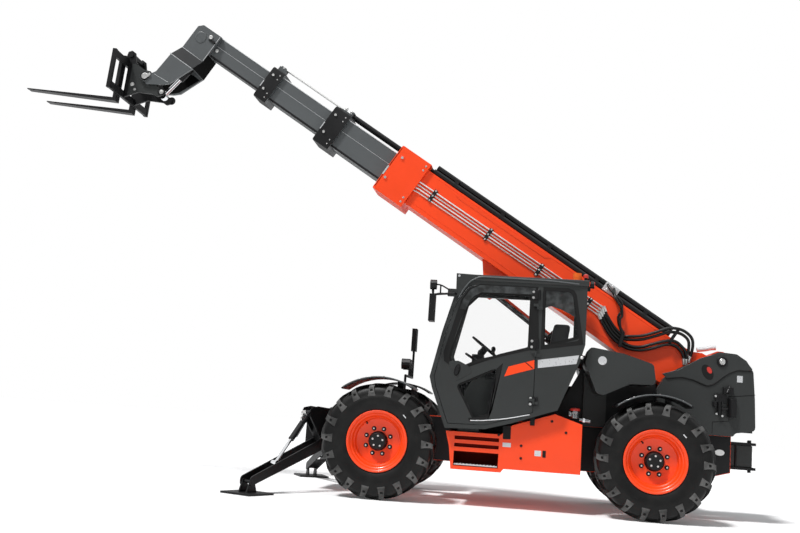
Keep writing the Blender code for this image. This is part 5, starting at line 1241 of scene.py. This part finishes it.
def cab_glazing():
    """Seals, black surrounds and sun bands of the door's and the quarter window's glass."""
    door, low_glass, quarter = (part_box(name)[1][1]
                                for name in ("door_window", "door_low_glass", "quarter_window"))
    seals = Shape()
    seal_ring(seals, DOOR_WINDOW, *DOOR_WINDOW_SEAL, door)
    seal_ring(seals, LOW_GLASS, *LOW_GLASS_SEAL, low_glass)
    piece("door_seals", seals, SEAL, "cab_door", edge=0.002)
    seals = seal_ring(Shape(), QUARTER, *QUARTER_SEAL, quarter)
    seals.slab(*DOOR_GAP_STRIP)
    piece("quarter_window_seal", seals, SEAL, "chassis", edge=0.002)
    for name, pairs, body in (("door_surround", DOOR_SURROUND, "cab_door"),
                              ("quarter_surround", QUARTER_SURROUND, "chassis")):
        surround = Shape().frame("Y", *zip(*pairs), CAB_SIDE - 0.001, CAB_SIDE + 0.003)
        piece(name, surround, SEAL, body, edge=0.0015)
    low_surround = Shape().prism("Y", LOW_SURROUND, CAB_SIDE - 0.001, CAB_SIDE + 0.002)
    piece("door_low_surround", low_surround, SEAL, "cab_door")
    band = Shape().prism("Y", DOOR_SUN_BAND, CAB_SIDE + 0.0032, CAB_SIDE + 0.0042)
    piece("door_sun_band", band, SUN_BAND, "cab_door")
    band = Shape().prism("Y", QUARTER_SUN_BAND, quarter + 0.0005, quarter + 0.0013)
    piece("quarter_sun_band", band, SUN_BAND, "chassis")


STEERING_TILT_DEG = 37.0
STEERING_CENTRE = (1.875, 0.72, 1.755)
STEERING_RADIUS = 0.185
STEERING_TUBE = 0.013
SPOKE_LONG = 0.18
SPOKE_RADIUS = 0.010
STEERING_HUB_LONG = 0.10
STEERING_HUB_RADIUS = 0.040
# Levers, their console's top and the steering column
CONSOLE_PIECES = (
    ("cab_levers", PLASTIC, "chassis", 0.006, (
        (Shape.pipe, ((1.74, 0.60, 1.45), (1.76, 0.60, 1.60), (1.785, 0.61, 1.73)), 0.010, 10, 4),
        (Shape.ball, (1.79, 0.612, 1.752), 0.026, 16, 1.3),
        (Shape.pipe, ((1.66, 0.58, 1.45), (1.67, 0.58, 1.60)), 0.009, 8, 3),
        (Shape.ball, (1.672, 0.58, 1.615), 0.022, 14, 1.3),
        (Shape.slab, (1.70, 0.56, 1.50), (0.34, 0.16, 0.16)),
        (Shape.pipe, ((1.985, 0.72, 1.40), (1.955, 0.72, 1.58), (1.925, 0.72, 1.72)), 0.032, 14, 3),
        (Shape.slab, (1.955, 0.72, 1.62), (0.13, 0.24, 0.10)))),
)


def cab_inside():
    """Levers on the console, the steering column's head and the wheel's rim, dark behind the glass."""
    pieces_from(CONSOLE_PIECES)
    tilt = math.radians(STEERING_TILT_DEG)
    centre = Vector(STEERING_CENTRE)
    forward = Vector((math.cos(tilt), 0.0, math.sin(tilt)))
    left = Vector(LEFTWARD)
    up = forward.cross(left)
    loops = []
    for angle in around(40, 0):
        spoke = forward * math.cos(angle) + left * math.sin(angle)
        loops.append([centre + spoke * (STEERING_RADIUS + STEERING_TUBE * math.cos(turn))
                      + up * STEERING_TUBE * math.sin(turn) for turn in around(10, 0)])
    rim = Shape().loft(loops, closed=True)
    for way in (forward, left):
        rim.rod(centre - way * SPOKE_LONG, centre + way * SPOKE_LONG, SPOKE_RADIUS, 8)
    rim.rod(centre - up * STEERING_HUB_LONG, centre + up * SPOKE_RADIUS, STEERING_HUB_RADIUS, 20)
    piece("steering_rim", rim, PLASTIC, "chassis")


# Hinge on the door: x, z, height
DOOR_HINGES = ((1.352, 2.348, 0.105), (1.345, 1.804, 0.105), (1.330, 1.182, 0.090))
HANDLE_PANEL = ((2.268, 1.560), (2.151, 1.572), (2.045, 1.526), (1.990, 1.452), (2.167, 1.345))
HANDLE_PLACE = (2.158, 1.468)
HANDLE_LEAN = math.radians(14.0)
HANDLE_STEPS = 28
ORANGE_STRIP = ((1.600, 1.541), (1.322, 1.630), (1.318, 1.535), (1.640, 1.431))
STRIP_LINE = ((1.425, 1.600), (1.414, 1.604), (1.330, 1.540), (1.342, 1.536))
SILVER_STRIP = ((1.285, 1.634), (0.842, 1.712), (0.868, 1.616), (1.280, 1.545))
DOOR_LOWER_EDGE = ((1.985, 0.928), (1.85, 0.938), (1.70, 0.958), (1.55, 0.985), (1.345, 1.035))
# Plate on the cab's side: name, outline, look, body, low and high face from the side plane, edge width
DOOR_PLATES = (
    ("door_handle_panel", rounded(HANDLE_PANEL, 0.03, 4), GREY, "cab_door", -0.001, 0.004, 0.002),
    ("door_handle_recess", oval(HANDLE_PLACE, 0.034, 0.068, HANDLE_LEAN, HANDLE_STEPS), SEAL, "cab_door",
     0.003, 0.006, 0.0),
    ("door_handle", oval(HANDLE_PLACE, 0.017, 0.050, HANDLE_LEAN, HANDLE_STEPS), BLACK, "cab_door",
     0.006, 0.022, 0.004),
    ("door_orange_strip", ORANGE_STRIP, ORANGE, "cab_door", 0.0003, 0.0016, 0.0),
    ("door_strip_line", STRIP_LINE, SEAL, "cab_door", 0.0014, 0.0020, 0.0),
    ("cab_silver_strip", SILVER_STRIP, WHITE_LINE, "chassis", 0.0003, 0.0016, 0.0),
)
# Roof's front corner as an arc, the rest of its plate, and the way of a light grey line along the roof behind it,
# a painted highlight
ROOF_ARC = ((2.190, 2.268), (2.140, 2.365), (2.077, 2.449), (2.017, 2.490), (1.938, 2.516))
ROOF_PLATE_FRONT = (2.222, 2.300)
ROOF_PLATE_TOP = ((2.228, 2.543), (1.935, 2.535))
ROOF_HIGHLIGHT_WAY = ((1.710, 2.516), (1.220, 2.511), (0.874, 2.491))


def flat_plate(name, outline, look, body, low, high, edge=0.0):
    """A plate on the left side between two heights above the cab's side plane."""
    return piece(name, Shape().prism("Y", outline, CAB_SIDE + low, CAB_SIDE + high), look, body, edge=edge)


def door_hardware():
    """Hinges, handle, trim strips and the bright lower edge of the cab's side."""
    plates = Shape()
    bolts = Shape()
    for x, z, tall in DOOR_HINGES:
        plates.slab((x - 0.012, CAB_SIDE + 0.004, z), (0.085, 0.010, tall))
        low, high = ((x - 0.052, CAB_SIDE + 0.010, z + shift) for shift in (-tall / 2, tall / 2))
        plates.rod(low, high, 0.012, 16)
        bolts.bolts([(x + 0.014, z + shift) for shift in (-0.032, 0.032)], CAB_SIDE + 0.009, 0.0105)
    piece("door_hinges", plates, BLACK, "cab_door", edge=0.003)
    piece("door_hinge_bolts", bolts, STEEL, "cab_door")
    for row in DOOR_PLATES:
        flat_plate(*row)
    knob = Shape().ball((0.812, CAB_SIDE + 0.006, 1.688), 0.020, 20)
    piece("cab_side_knob", knob, STEEL, "chassis")
    edge = Shape().pipe([at("Y", CAB_SIDE + 0.001, pair) for pair in DOOR_LOWER_EDGE], 0.0055, 8, 4)
    piece("door_lower_edge", edge, WHITE_LINE, "cab_door")


def roof_details():
    """The roof's corner plate with its eye, and a light grey line along the frame's edge and the roof, a painted
    highlight.
    """
    outline = [*ROOF_PLATE_TOP, *reversed(ROOF_ARC), ROOF_PLATE_FRONT]
    flat_plate("roof_corner_plate", outline, GREY, "chassis", 0.0005, ROOF_SIDE + 0.003 - CAB_SIDE, 0.003)
    hole = Shape().turned((2.196, ROOF_SIDE + 0.003, 2.516), LEFTWARD, ((-0.002, 0.013), (0.001, 0.013)), 24)
    piece("roof_plate_eye", hole, WHITE_LINE, "chassis")
    # Light grey tube along the arc and the roof: a painted highlight
    path = [at("Y", ROOF_SIDE + 0.004, pair) for pair in (*ROOF_ARC, *ROOF_HIGHLIGHT_WAY)]
    piece("roof_frame_highlight", Shape().pipe(path, 0.0075, 10, 4), BOOM_GREY, "chassis")


# Red lamps on their bracket behind the cab, and the windscreen's wiper
LAMP_PIECES = (
    ("rear_lamp_bracket", BLACK, "chassis", 0.003, (
        (Shape.rod, (0.795, 0.90, 2.345), (0.795, 0.90, 2.590), 0.017, 14),
        (Shape.slab, (0.770, 0.90, 2.470), (0.060, 0.070, 0.050)),
        (Shape.turned, (0.745, 0.90, 2.517), REARWARD, ((0.0, 0.020), (0.004, 0.040), (0.045, 0.042)), 24))),
    ("rear_lamp_lens", RED_CAP, "chassis", 0.0, (
        (Shape.turned, (0.700, 0.90, 2.517), REARWARD, ((0.0, 0.038), (0.006, 0.032), (0.009, 0.0)), 24),
        (Shape.turned, (0.795, 0.90, 2.590), UPWARD, ((0.0, 0.030), (0.035, 0.028), (0.045, 0.012)), 20))),
    ("rear_lamp_bolts", STEEL, "chassis", 0.0, (
        (Shape.bolts, ((0.800, 2.395), (0.800, 2.430)), 0.916, 0.011),)),
    ("screen_wiper", BLACK, "chassis", 0.0, (
        (Shape.pipe, ((2.442, 0.62, 1.46), (2.41, 0.70, 1.72), (2.345, 0.78, 1.98)), 0.009, 8, 4),
        (Shape.rod, (2.455, 0.62, 1.44), (2.405, 0.62, 1.47), 0.022, 16))),
)
MIRROR_TUBE = 0.0085
MIRROR_BRACKET = (0.105, 0.024, 0.088)
# Mirror tube: its points (x, which of the three distances out, z), and smoothing
MIRROR_TUBES = (
    (((2.300, "root", 2.352), (2.392, "bend", 2.392), (2.460, "head", 2.384), (2.478, "head", 2.340),
      (2.470, "head", 2.272)), 5),
    (((2.300, "root", 2.300), (2.392, "bend", 2.300), (2.474, "head", 2.272)), 4),
    (((2.392, "bend", 2.392), (2.392, "bend", 2.300)), 0),
)


def mirror_parts():
    """The left mirror's bracket box and its bent tubes."""
    low, high = (MACHINE.inverted() @ Vector(corner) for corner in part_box("mirror_left"))
    head = (low.y + high.y) / 2 + 0.03
    outs = {"root": CAB_SIDE + 0.016, "bend": head - 0.05, "head": head}
    box = Shape().slab((2.262, CAB_SIDE + 0.014, 2.322), MIRROR_BRACKET)
    piece("mirror_bracket_box", box, GREY, "chassis", edge=0.004)
    tubes = Shape()
    for way, smooth in MIRROR_TUBES:
        tubes.pipe([(x, outs[out], z) for x, out, z in way], MIRROR_TUBE, 10, smooth)
    piece("mirror_tubes", tubes, BLACK, "chassis")


cab_glazing()
cab_inside()
door_hardware()
roof_details()
pieces_from(LAMP_PIECES)
mirror_parts()


# Left side box

BOX_SIDE = 1.000
BOX_BOLTS = ((1.098, 0.980), (0.941, 0.868), (1.418, 0.694), (1.415, 0.559), (1.667, 0.794))
# Dark block over a notch in the box's side, painted shade: its outline (x, z)
BOX_NOTCH_SHADE = ((1.628, 0.893), (1.538, 0.900), (1.536, 0.755), (1.620, 0.750))
# Dark linings inside the two slots and the step's opening, painted shade: x, distance inside the box's side, z
BOX_LININGS = (
    ((1.665, 2.151), (0.115, 0.030), (0.636, 0.674)), ((1.665, 2.151), (0.115, 0.030), (0.716, 0.754)),
    ((1.665, 2.151), (0.299, 0.292), (0.434, 0.588)), ((1.665, 2.151), (0.299, 0.030), (0.580, 0.588)),
    ((1.6635, 1.6680), (0.299, 0.012), (0.434, 0.588)), ((2.1480, 2.1525), (0.299, 0.012), (0.434, 0.588)),
)
STEP_PLATE = ((1.668, 0.80, 0.440), (2.142, 0.992, 0.452))
STEP_STUDS_X = [1.70 + 0.0375 * k for k in range(12)]
STEP_STUDS_Y = (0.85, 0.90, 0.95)
STEP_STUD_PROFILE = ((0.0, 0.010), (0.005, 0.008))
# Blank plate: x, z, width, height
BLANK_PLATES = ((1.575, 0.692, 0.090, 0.046), (1.235, 0.625, 0.070, 0.060))


def side_box():
    """Bolts, painted shade in the slots, the step's opening and a notch, step and blank plates of the left side
    box.
    """
    bolts = Shape().bolts(BOX_BOLTS, BOX_SIDE, 0.011)
    piece("side_box_bolts", bolts, BLACK, "chassis")
    # Dark linings in the slots and the step's opening paint their shade
    recess = Shape()
    for xs, insides, zs in BOX_LININGS:
        low, high = ((x, BOX_SIDE - inside, z) for x, inside, z in zip(xs, insides, zs))
        recess.box(low, high)
    piece("side_box_recess_shade", recess, SHADE_ORANGE, "chassis")
    # A dark block paints the notch's shade; a small dark slab lies beside it
    dark = Shape().prism("Y", rounded(BOX_NOTCH_SHADE, 0.01, 2), BOX_SIDE - 0.03, BOX_SIDE + 0.0015)
    dark.slab((1.166, BOX_SIDE + 0.0005, 0.622), (0.036, 0.003, 0.075))
    piece("side_box_dark_parts", dark, SEAL, "chassis")
    step = Shape().box(*STEP_PLATE)
    for x in STEP_STUDS_X:
        for y in STEP_STUDS_Y:
            step.turned((x, y, 0.451), UPWARD, STEP_STUD_PROFILE, 8)
    piece("step_tread", step, WHITE_LINE, "chassis", edge=0.001)
    labels = Shape()
    for x, z, wide, tall in BLANK_PLATES:
        labels.slab((x, BOX_SIDE + 0.0004, z), (wide, 0.0014, tall))
    piece("blank_plates", labels, WHITE_LINE, "chassis")


side_box()


# Stabilisers

STAB_PIVOT_Z = 0.58
STAB_RAM_TOP = (0.28, 0.88)
STAB_FOOT_ALONG = 0.82
# Fitting on the stabiliser's cylinder: distance along it, height above it, y, radius
STAB_FITTINGS = (
    (0.05, 0.030, 0.012, 0.014), (0.05, 0.030, -0.014, 0.014), (0.10, 0.032, 0.0, 0.018),
    (0.15, 0.032, 0.012, 0.013),
)
STAB_STRIP_SPAN = (0.17, 0.36)
STAB_STRIP_SECTION = ((-0.008, 0.0), (0.008, 0.0), (0.008, 0.0012), (-0.008, 0.0012))
STAB_STRIP_Y = 0.0335
STAB_COVER_INNER = 0.052
STAB_COVER_OUTER = 0.0575
STAB_COVER = (
    (-0.060, 0.550), (-0.060, 0.950), (0.180, 0.965), (0.305, 0.945), (0.345, 0.885), (0.314, 0.846),
    (0.060, 0.600),
)


def stabiliser_parts():
    """Cheek covers, the cylinder's steel fittings and a bright strip along its barrel."""
    left = Vector(LEFTWARD)
    for name in ("left", "right"):
        place = stabiliser_frame(name)
        ankle = place.inverted() @ joint_place("stabiliser_ankle_" + name)
        leg = Vector((ankle.x, 0.0, ankle.z - STAB_PIVOT_Z)).normalized()
        foot = Vector((0.0, 0.0, STAB_PIVOT_Z)) + leg * STAB_FOOT_ALONG
        top = Vector((STAB_RAM_TOP[0], 0.0, STAB_RAM_TOP[1]))
        down = (foot - top).normalized()
        out = Vector((-down.z, 0.0, down.x))
        covers = Shape()
        strip = Shape()
        for side in (1, -1):
            covers.side_plate(STAB_COVER, side, STAB_COVER_INNER, STAB_COVER_OUTER)
            starts = [top + down * along + left * side * STAB_STRIP_Y for along in STAB_STRIP_SPAN]
            strip.loft([[start + out * a + left * side * b for a, b in STAB_STRIP_SECTION]
                        for start in starts])
        piece("stabiliser_covers_" + name, covers, BLACK, "chassis", place, 0.002)
        body = "stabiliser_barrel_" + name
        fittings = Shape()
        for along, lift, y, radius in STAB_FITTINGS:
            start = top + down * along + out * lift + left * y
            fittings.rod(start, start + out * 0.040, radius, 6)
            fittings.rod(start + out * 0.028, start + out * 0.056 - down * 0.012, radius * 0.8, 12)
        piece("stabiliser_fittings_" + name, fittings, STEEL, body, place, 0.001)
        piece("stabiliser_strip_" + name, strip, WHITE_LINE, body, place)


stabiliser_parts()


# Frame covers, rear tower and hitch

FRAME_SIDE = 0.310
TOWER_SIDE = 0.430
FRAME_OUTLINE = ((-0.925, 0.55), (-0.57, 0.445), (3.35, 0.445), (3.575, 0.57), (3.575, 0.90), (3.45, 0.945),
                 (-0.925, 0.945))
TOWER_PLATE = (
    (-0.130, 1.605), (-0.183, 1.556), (-0.265, 1.572), (-0.359, 1.580), (-0.473, 1.560), (-0.560, 1.528),
    (-0.629, 1.506), (-0.690, 1.520), (-0.740, 1.554), (-0.800, 1.608), (-0.863, 1.655), (-0.920, 1.682),
    (-0.974, 1.698), (-1.113, 1.700), (-1.125, 1.715), (-1.065, 1.790), (-0.960, 1.862), (-0.760, 1.876),
    (-0.560, 1.812), (-0.310, 1.662),
)


# Plates inside the left rear wheel's arch
ARCH_REAR = (
    (0.760, 0.950), (0.760, 1.560), (0.150, 1.560), (-0.070, 1.500), (-0.100, 1.300), (-0.100, 0.950),
)
ARCH_FRONT = ((0.620, 0.950), (1.080, 0.950), (1.020, 1.120), (0.760, 1.620), (0.620, 1.620))


def frame_covers():
    """Black plates on the frame's sides and inside the left rear wheel's arch."""
    for name, side in SIDES:
        cover = Shape().side_plate(FRAME_OUTLINE, side, FRAME_SIDE, FRAME_SIDE + 0.005)
        piece("frame_cover_" + name, cover, BLACK, "chassis", edge=0.001)
    arch = Shape().prism("Y", ARCH_REAR, 0.318, 0.330)
    arch.prism("Y", ARCH_FRONT, 0.316, 0.326)
    piece("inner_arch_left", arch, BLACK, "chassis")


TOWER_PIVOT = (-0.790, 1.780)
PIVOT_RING_PROFILE = (
    (-0.010, 0.060), (0.012, 0.060), (0.016, 0.056), (0.016, 0.040), (0.004, 0.038), (0.004, 0.0),
)
PIVOT_CAP_PROFILE = ((0.0, 0.036), (0.014, 0.036), (0.020, 0.030), (0.020, 0.0))
OPENING_LEAN_DEG = -28.0
# Opening in the tower's plate, drawn as a dark oval that paints its shade, and the red part inside it: middle,
# half width, half height, relief
OPENING = ((-0.632, 1.652), 0.058, 0.092, 0.0015)
OPENING_INSIDE = ((-0.652, 1.676), 0.024, 0.040, 0.0025)
TOWER_SEAM_Y = TOWER_SIDE + 0.0005
# Blank sign, small hardware behind the tower and the seams of its door
TAIL_PIECES = (
    ("blank_sign", WHITE_LINE, "chassis", 0.0, (
        (Shape.slab, (-0.990, TOWER_SEAM_Y, 1.597), (0.062, 0.002, 0.074)),)),
    ("tail_hardware", BLACK, "chassis", 0.004, (
        (Shape.rod, (-0.905, 0.470, 1.160), (-0.905, 0.470, 1.368), 0.046, 20),
        (Shape.rod, (-0.790, 0.455, 1.250), (-0.905, 0.455, 1.250), 0.018, 12),
        (Shape.slab, (-0.780, 0.450, 1.370), (0.120, 0.050, 0.090)),
        (Shape.slab, (-0.860, 0.455, 1.455), (0.110, 0.060, 0.075)),
        (Shape.rod, (-0.770, 0.455, 1.180), (-0.770, 0.455, 1.420), 0.024, 14),
        (Shape.rod, (-0.720, 0.452, 1.270), (-0.720, 0.452, 1.330), 0.028, 16),
        (Shape.rod, (-0.880, 0.455, 1.500), (-0.845, 0.485, 1.425), 0.022, 14))),
    ("tail_hardware_bolts", STEEL, "chassis", 0.0, (
        (Shape.bolts, ((-0.735, 1.190), (-0.800, 1.172), (-0.722, 1.388), (-0.840, 1.440)), 0.478, 0.009),)),
    ("tower_seam", SEAL, "chassis", 0.0, (
        (Shape.pipe, [at("Y", TOWER_SEAM_Y, pair) for pair in
                      ((-0.870, 1.392), (-1.135, 1.425), (-1.160, 1.430))], 0.004, 6),
        (Shape.pipe, [at("Y", TOWER_SEAM_Y, pair) for pair in
                      ((-0.870, 1.392), (-0.880, 1.12), (-0.70, 1.10), (-0.70, 0.97))], 0.003, 6))),
)


def tower_plates():
    """The formed plate on each side of the tower, its groove, the pivot's ring and cap, and an opening drawn as a
    dark oval, painted shade.
    """
    face = TOWER_SIDE + 0.014
    lean = math.radians(OPENING_LEAN_DEG)
    for name, side in SIDES:
        out = outward(side)
        plate = Shape().side_plate(TOWER_PLATE, side, TOWER_SIDE - 0.004, face)
        piece("tower_plate_" + name, plate, GREY, "chassis", edge=0.006)
        way = [(x, side * (TOWER_SIDE + 0.003), z - 0.004) for x, z in TOWER_PLATE[1:14]]
        piece("tower_groove_" + name, Shape().pipe(way, 0.011, 8, 4), SEAL, "chassis")
        pivot = at("Y", side * face, TOWER_PIVOT)
        ring = Shape().turned(pivot, out, PIVOT_RING_PROFILE, 48)
        piece("pivot_ring_" + name, ring, BLACK, "chassis")
        cap = Shape().turned(pivot, out, PIVOT_CAP_PROFILE, 40)
        cap.bolts([TOWER_PIVOT], face + 0.018, 0.012, side)
        piece("pivot_cap_" + name, cap, STEEL, "chassis", edge=0.001)
        # The opening is a dark oval on the plate, its painted shade
        for prefix, (centre, half_wide, half_tall, relief), look in (
                ("tower_opening_", OPENING, SEAL), ("tower_opening_inside_", OPENING_INSIDE, RED_CAP)):
            outline = oval(centre, half_wide, half_tall, lean, 32)
            shape = Shape().side_plate(outline, side, face - 0.002, face + relief)
            piece(prefix + name, shape, look, "chassis")


def hood_parts():
    """Latches and a blank plate on the engine hood's outer side."""
    low, high = (MACHINE.inverted() @ Vector(corner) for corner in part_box("engine_hood"))
    face = low.y
    latches = Shape()
    for share in (0.18, 0.82):
        x = low.x + share * (high.x - low.x)
        latches.slab((x, face - 0.004, low.z + 0.070), (0.090, 0.010, 0.050))
        start, end = ((x + shift, face - 0.016, low.z + 0.070) for shift in (-0.030, 0.030))
        latches.rod(start, end, 0.008, 10)
    piece("hood_latches", latches, BLACK, "engine_hood", edge=0.002)
    plate = Shape().slab(((low.x + high.x) / 2, face - 0.0008, low.z + 0.080), (0.160, 0.002, 0.050))
    piece("hood_blank_plate", plate, WHITE_LINE, "engine_hood")


# The hitch's box with its pin and lead, the oval eye on the frame, and the fuel filler with its couplings
HITCH_PIECES = (
    ("hitch_box", GREY, "chassis", 0.006, ((Shape.box, (-1.215, -0.085, 0.612), (-0.935, 0.085, 0.858)),)),
    ("hitch_fittings", BLACK, "chassis", 0.0, (
        (Shape.rod, (-1.180, 0.060, 0.885), (-1.180, 0.060, 0.915), 0.020, 6),
        (Shape.pipe, ((-1.03, 0.095, 0.60), (-1.03, 0.098, 0.72), (-1.03, 0.095, 0.88)), 0.012, 10, 3))),
    ("hitch_plate_eye", STEEL, "chassis", 0.002, (
        (Shape.prism, "Y", oval((-0.808, 0.762), 0.054, 0.034, 0.0, 28), FRAME_SIDE, FRAME_SIDE + 0.012),)),
    ("filler_neck", CHROME, "chassis", 0.002, (
        (Shape.rod, (0.850, 0.900, 1.030), (0.850, 0.900, 1.112), 0.046, 28),
        (Shape.turned, (0.850, 0.900, 1.085), UPWARD, ((0.0, 0.052), (0.014, 0.052)), 28),
        (Shape.rod, (0.800, 0.905, 1.020), (0.680, 0.905, 1.012), 0.022, 6),
        (Shape.rod, (0.762, 0.905, 1.018), (0.740, 0.905, 1.016), 0.030, 18),
        (Shape.rod, (0.905, 0.905, 1.050), (0.905, 0.905, 1.100), 0.018, 12))),
    ("filler_cap", RED_CAP, "chassis", 0.002, (
        (Shape.turned, (0.850, 0.900, 1.112), UPWARD,
         ((0.0, 0.056), (0.018, 0.056), (0.030, 0.044), (0.034, 0.0)), 28),)),
)
# Tail handle's way in the boom's frame
HANDLE_WAY = ((0.270, 0.100, 0.000), (0.198, 0.100, 0.062), (0.150, 0.100, 0.112), (0.108, 0.100, 0.144))
DISC_PROFILE = ((-0.02, 0.047), (0.0015, 0.047), (0.002, 0.045))


def tail_handle():
    """Bright grab handle over the pivot, and a blank disc on the left rear body."""
    piece("tail_handle", Shape().pipe(HANDLE_WAY, 0.027, 16, 5), WHITE_LINE, "boom_base", BOOM)
    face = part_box("rear_body_left")[1][1]
    disc = Shape().turned((0.583, face, 1.676), LEFTWARD, DISC_PROFILE, 40)
    piece("blank_disc", disc, WHITE_LINE, "chassis")


frame_covers()
tail_handle()
tower_plates()
pieces_from(TAIL_PIECES)
hood_parts()
pieces_from(HITCH_PIECES)


# Studio

WHITE = (1.0, 1.0, 1.0)
WHITE_STRENGTH = 1.0
SKY_COLOUR = (0.96, 0.98, 1.0)
# Mirrored sky: lowest and highest upward share of the ray, strength at each
MIRRORED_SKY = (0.05, 0.65, 0.10, 1.25)
SUN_STRENGTH = 3.2
SUN_SPREAD_DEG = 9.0
# The sun's angle from straight above, and its turn from the left towards the front
SUN_TILT_DEG = (30.0, 40.0)
SKY_STRENGTH = 0.46
FLOOR_SIZE = 90.0
FLOOR_COLOUR = (0.86, 0.86, 0.86)
FLOOR_GLOW = 0.06
# The camera's place in the machine's frame and its turns (radians)
CAMERA_PLACE = (1.4051, 12.1725, 0.9964)
CAMERA_YAW = -0.1319
CAMERA_PITCH = 0.1415
CAMERA_ROLL = -0.0698
SENSOR_MM = 36.0
LENS_MM = 45.0
CLIP_END = 200.0


def seen_directly(tree, others=("Is Glossy Ray", "Is Transmission Ray")):
    """1 for camera rays and the other kinds of rays given, else 0."""
    path = tree.nodes.new("ShaderNodeLightPath")
    total = path.outputs["Is Camera Ray"]
    for name in others:
        join = tree.nodes.new("ShaderNodeMath")
        join.operation = "MAXIMUM"
        tree.links.new(total, join.inputs[0])
        tree.links.new(path.outputs[name], join.inputs[1])
        total = join.outputs[0]
    return total


def background(tree, colour, strength):
    """A background node of one colour."""
    node = tree.nodes.new("ShaderNodeBackground")
    node.inputs["Color"].default_value = (*colour, 1.0)
    node.inputs["Strength"].default_value = strength
    return node


def make_world():
    """White behind the machine, a soft sky for its light, and a brighter one above in mirrored rays."""
    world = bpy.data.worlds.new("studio")
    bpy.context.scene.world = world
    world.use_nodes = True
    tree = world.node_tree
    tree.nodes.clear()
    sky = background(tree, SKY_COLOUR, SKY_STRENGTH)
    white = background(tree, WHITE, WHITE_STRENGTH)
    mirrored = tree.nodes.new("ShaderNodeBackground")
    place = tree.nodes.new("ShaderNodeTexCoord")
    split = tree.nodes.new("ShaderNodeSeparateXYZ")
    fit = tree.nodes.new("ShaderNodeMapRange")
    for name, value in zip(("From Min", "From Max", "To Min", "To Max"), MIRRORED_SKY):
        fit.inputs[name].default_value = value
    tree.links.new(place.outputs["Generated"], split.inputs[0])
    tree.links.new(split.outputs["Z"], fit.inputs["Value"])
    tree.links.new(fit.outputs["Result"], mirrored.inputs["Strength"])
    glossy = tree.nodes.new("ShaderNodeMixShader")
    path = tree.nodes.new("ShaderNodeLightPath")
    tree.links.new(path.outputs["Is Glossy Ray"], glossy.inputs["Fac"])
    tree.links.new(sky.outputs[0], glossy.inputs[1])
    tree.links.new(mirrored.outputs[0], glossy.inputs[2])
    mix = tree.nodes.new("ShaderNodeMixShader")
    out = tree.nodes.new("ShaderNodeOutputWorld")
    tree.links.new(seen_directly(tree, ("Is Transmission Ray",)), mix.inputs["Fac"])
    tree.links.new(glossy.outputs[0], mix.inputs[1])
    tree.links.new(white.outputs[0], mix.inputs[2])
    tree.links.new(mix.outputs[0], out.inputs["Surface"])


def make_floor():
    """A white floor that glows a little to the camera, so that it meets the background."""
    data = bpy.data.meshes.new("floor")
    half = FLOOR_SIZE / 2
    data.from_pydata([(-half, -half, 0.0), (half, -half, 0.0), (half, half, 0.0), (-half, half, 0.0)], [],
                     [(0, 1, 2, 3)])
    floor = bpy.data.objects.new("floor", data)
    bpy.context.scene.collection.objects.link(floor)
    look = bpy.data.materials.new("studio_floor")
    look.use_nodes = True
    tree = look.node_tree
    tree.nodes.clear()
    diffuse = tree.nodes.new("ShaderNodeBsdfDiffuse")
    diffuse.inputs["Color"].default_value = (*FLOOR_COLOUR, 1.0)
    glow = tree.nodes.new("ShaderNodeEmission")
    glow.inputs["Color"].default_value = (*WHITE, 1.0)
    scale = tree.nodes.new("ShaderNodeMath")
    scale.operation = "MULTIPLY"
    scale.inputs[1].default_value = FLOOR_GLOW
    tree.links.new(seen_directly(tree), scale.inputs[0])
    tree.links.new(scale.outputs[0], glow.inputs["Strength"])
    add = tree.nodes.new("ShaderNodeAddShader")
    out = tree.nodes.new("ShaderNodeOutputMaterial")
    tree.links.new(diffuse.outputs[0], add.inputs[0])
    tree.links.new(glow.outputs[0], add.inputs[1])
    tree.links.new(add.outputs[0], out.inputs["Surface"])
    data.materials.append(look)


def make_sun():
    """A soft sun from the machine's left and front."""
    light = bpy.data.lights.new("sun", "SUN")
    light.energy = SUN_STRENGTH
    light.angle = math.radians(SUN_SPREAD_DEG)
    sun = bpy.data.objects.new("sun", light)
    bpy.context.scene.collection.objects.link(sun)
    tilt, turn = (math.radians(value) for value in SUN_TILT_DEG)
    sun_from = Vector((math.sin(turn) * math.sin(tilt), math.cos(turn) * math.sin(tilt), math.cos(tilt)))
    sun.rotation_euler = sun_from.to_track_quat("Z", "Y").to_euler()


def camera():
    """The camera fitted to the photograph's wheels."""
    yaw, pitch, roll = CAMERA_YAW, CAMERA_PITCH, CAMERA_ROLL
    base = Matrix(((-1, 0, 0), (0, 0, 1), (0, -1, 0)))
    about_up = Matrix(((math.cos(yaw), 0, -math.sin(yaw)), (0, 1, 0), (math.sin(yaw), 0, math.cos(yaw))))
    about_right = Matrix(((1, 0, 0), (0, math.cos(pitch), -math.sin(pitch)),
                          (0, math.sin(pitch), math.cos(pitch))))
    about_view = Matrix(((math.cos(roll), -math.sin(roll), 0), (math.sin(roll), math.cos(roll), 0),
                         (0, 0, 1)))
    right, up, ahead = about_view @ about_right @ about_up @ base
    turn = Matrix((right, up, -ahead)).transposed().to_4x4()
    data = bpy.data.cameras.new("camera")
    data.sensor_width = SENSOR_MM
    data.lens = LENS_MM
    data.clip_end = CLIP_END
    item = bpy.data.objects.new("camera", data)
    item.matrix_world = MACHINE @ Matrix.Translation(CAMERA_PLACE) @ turn
    bpy.context.scene.collection.objects.link(item)
    bpy.context.scene.camera = item


make_world()
make_floor()
make_sun()
camera()
bpy.context.scene.view_settings.view_transform = "Standard"
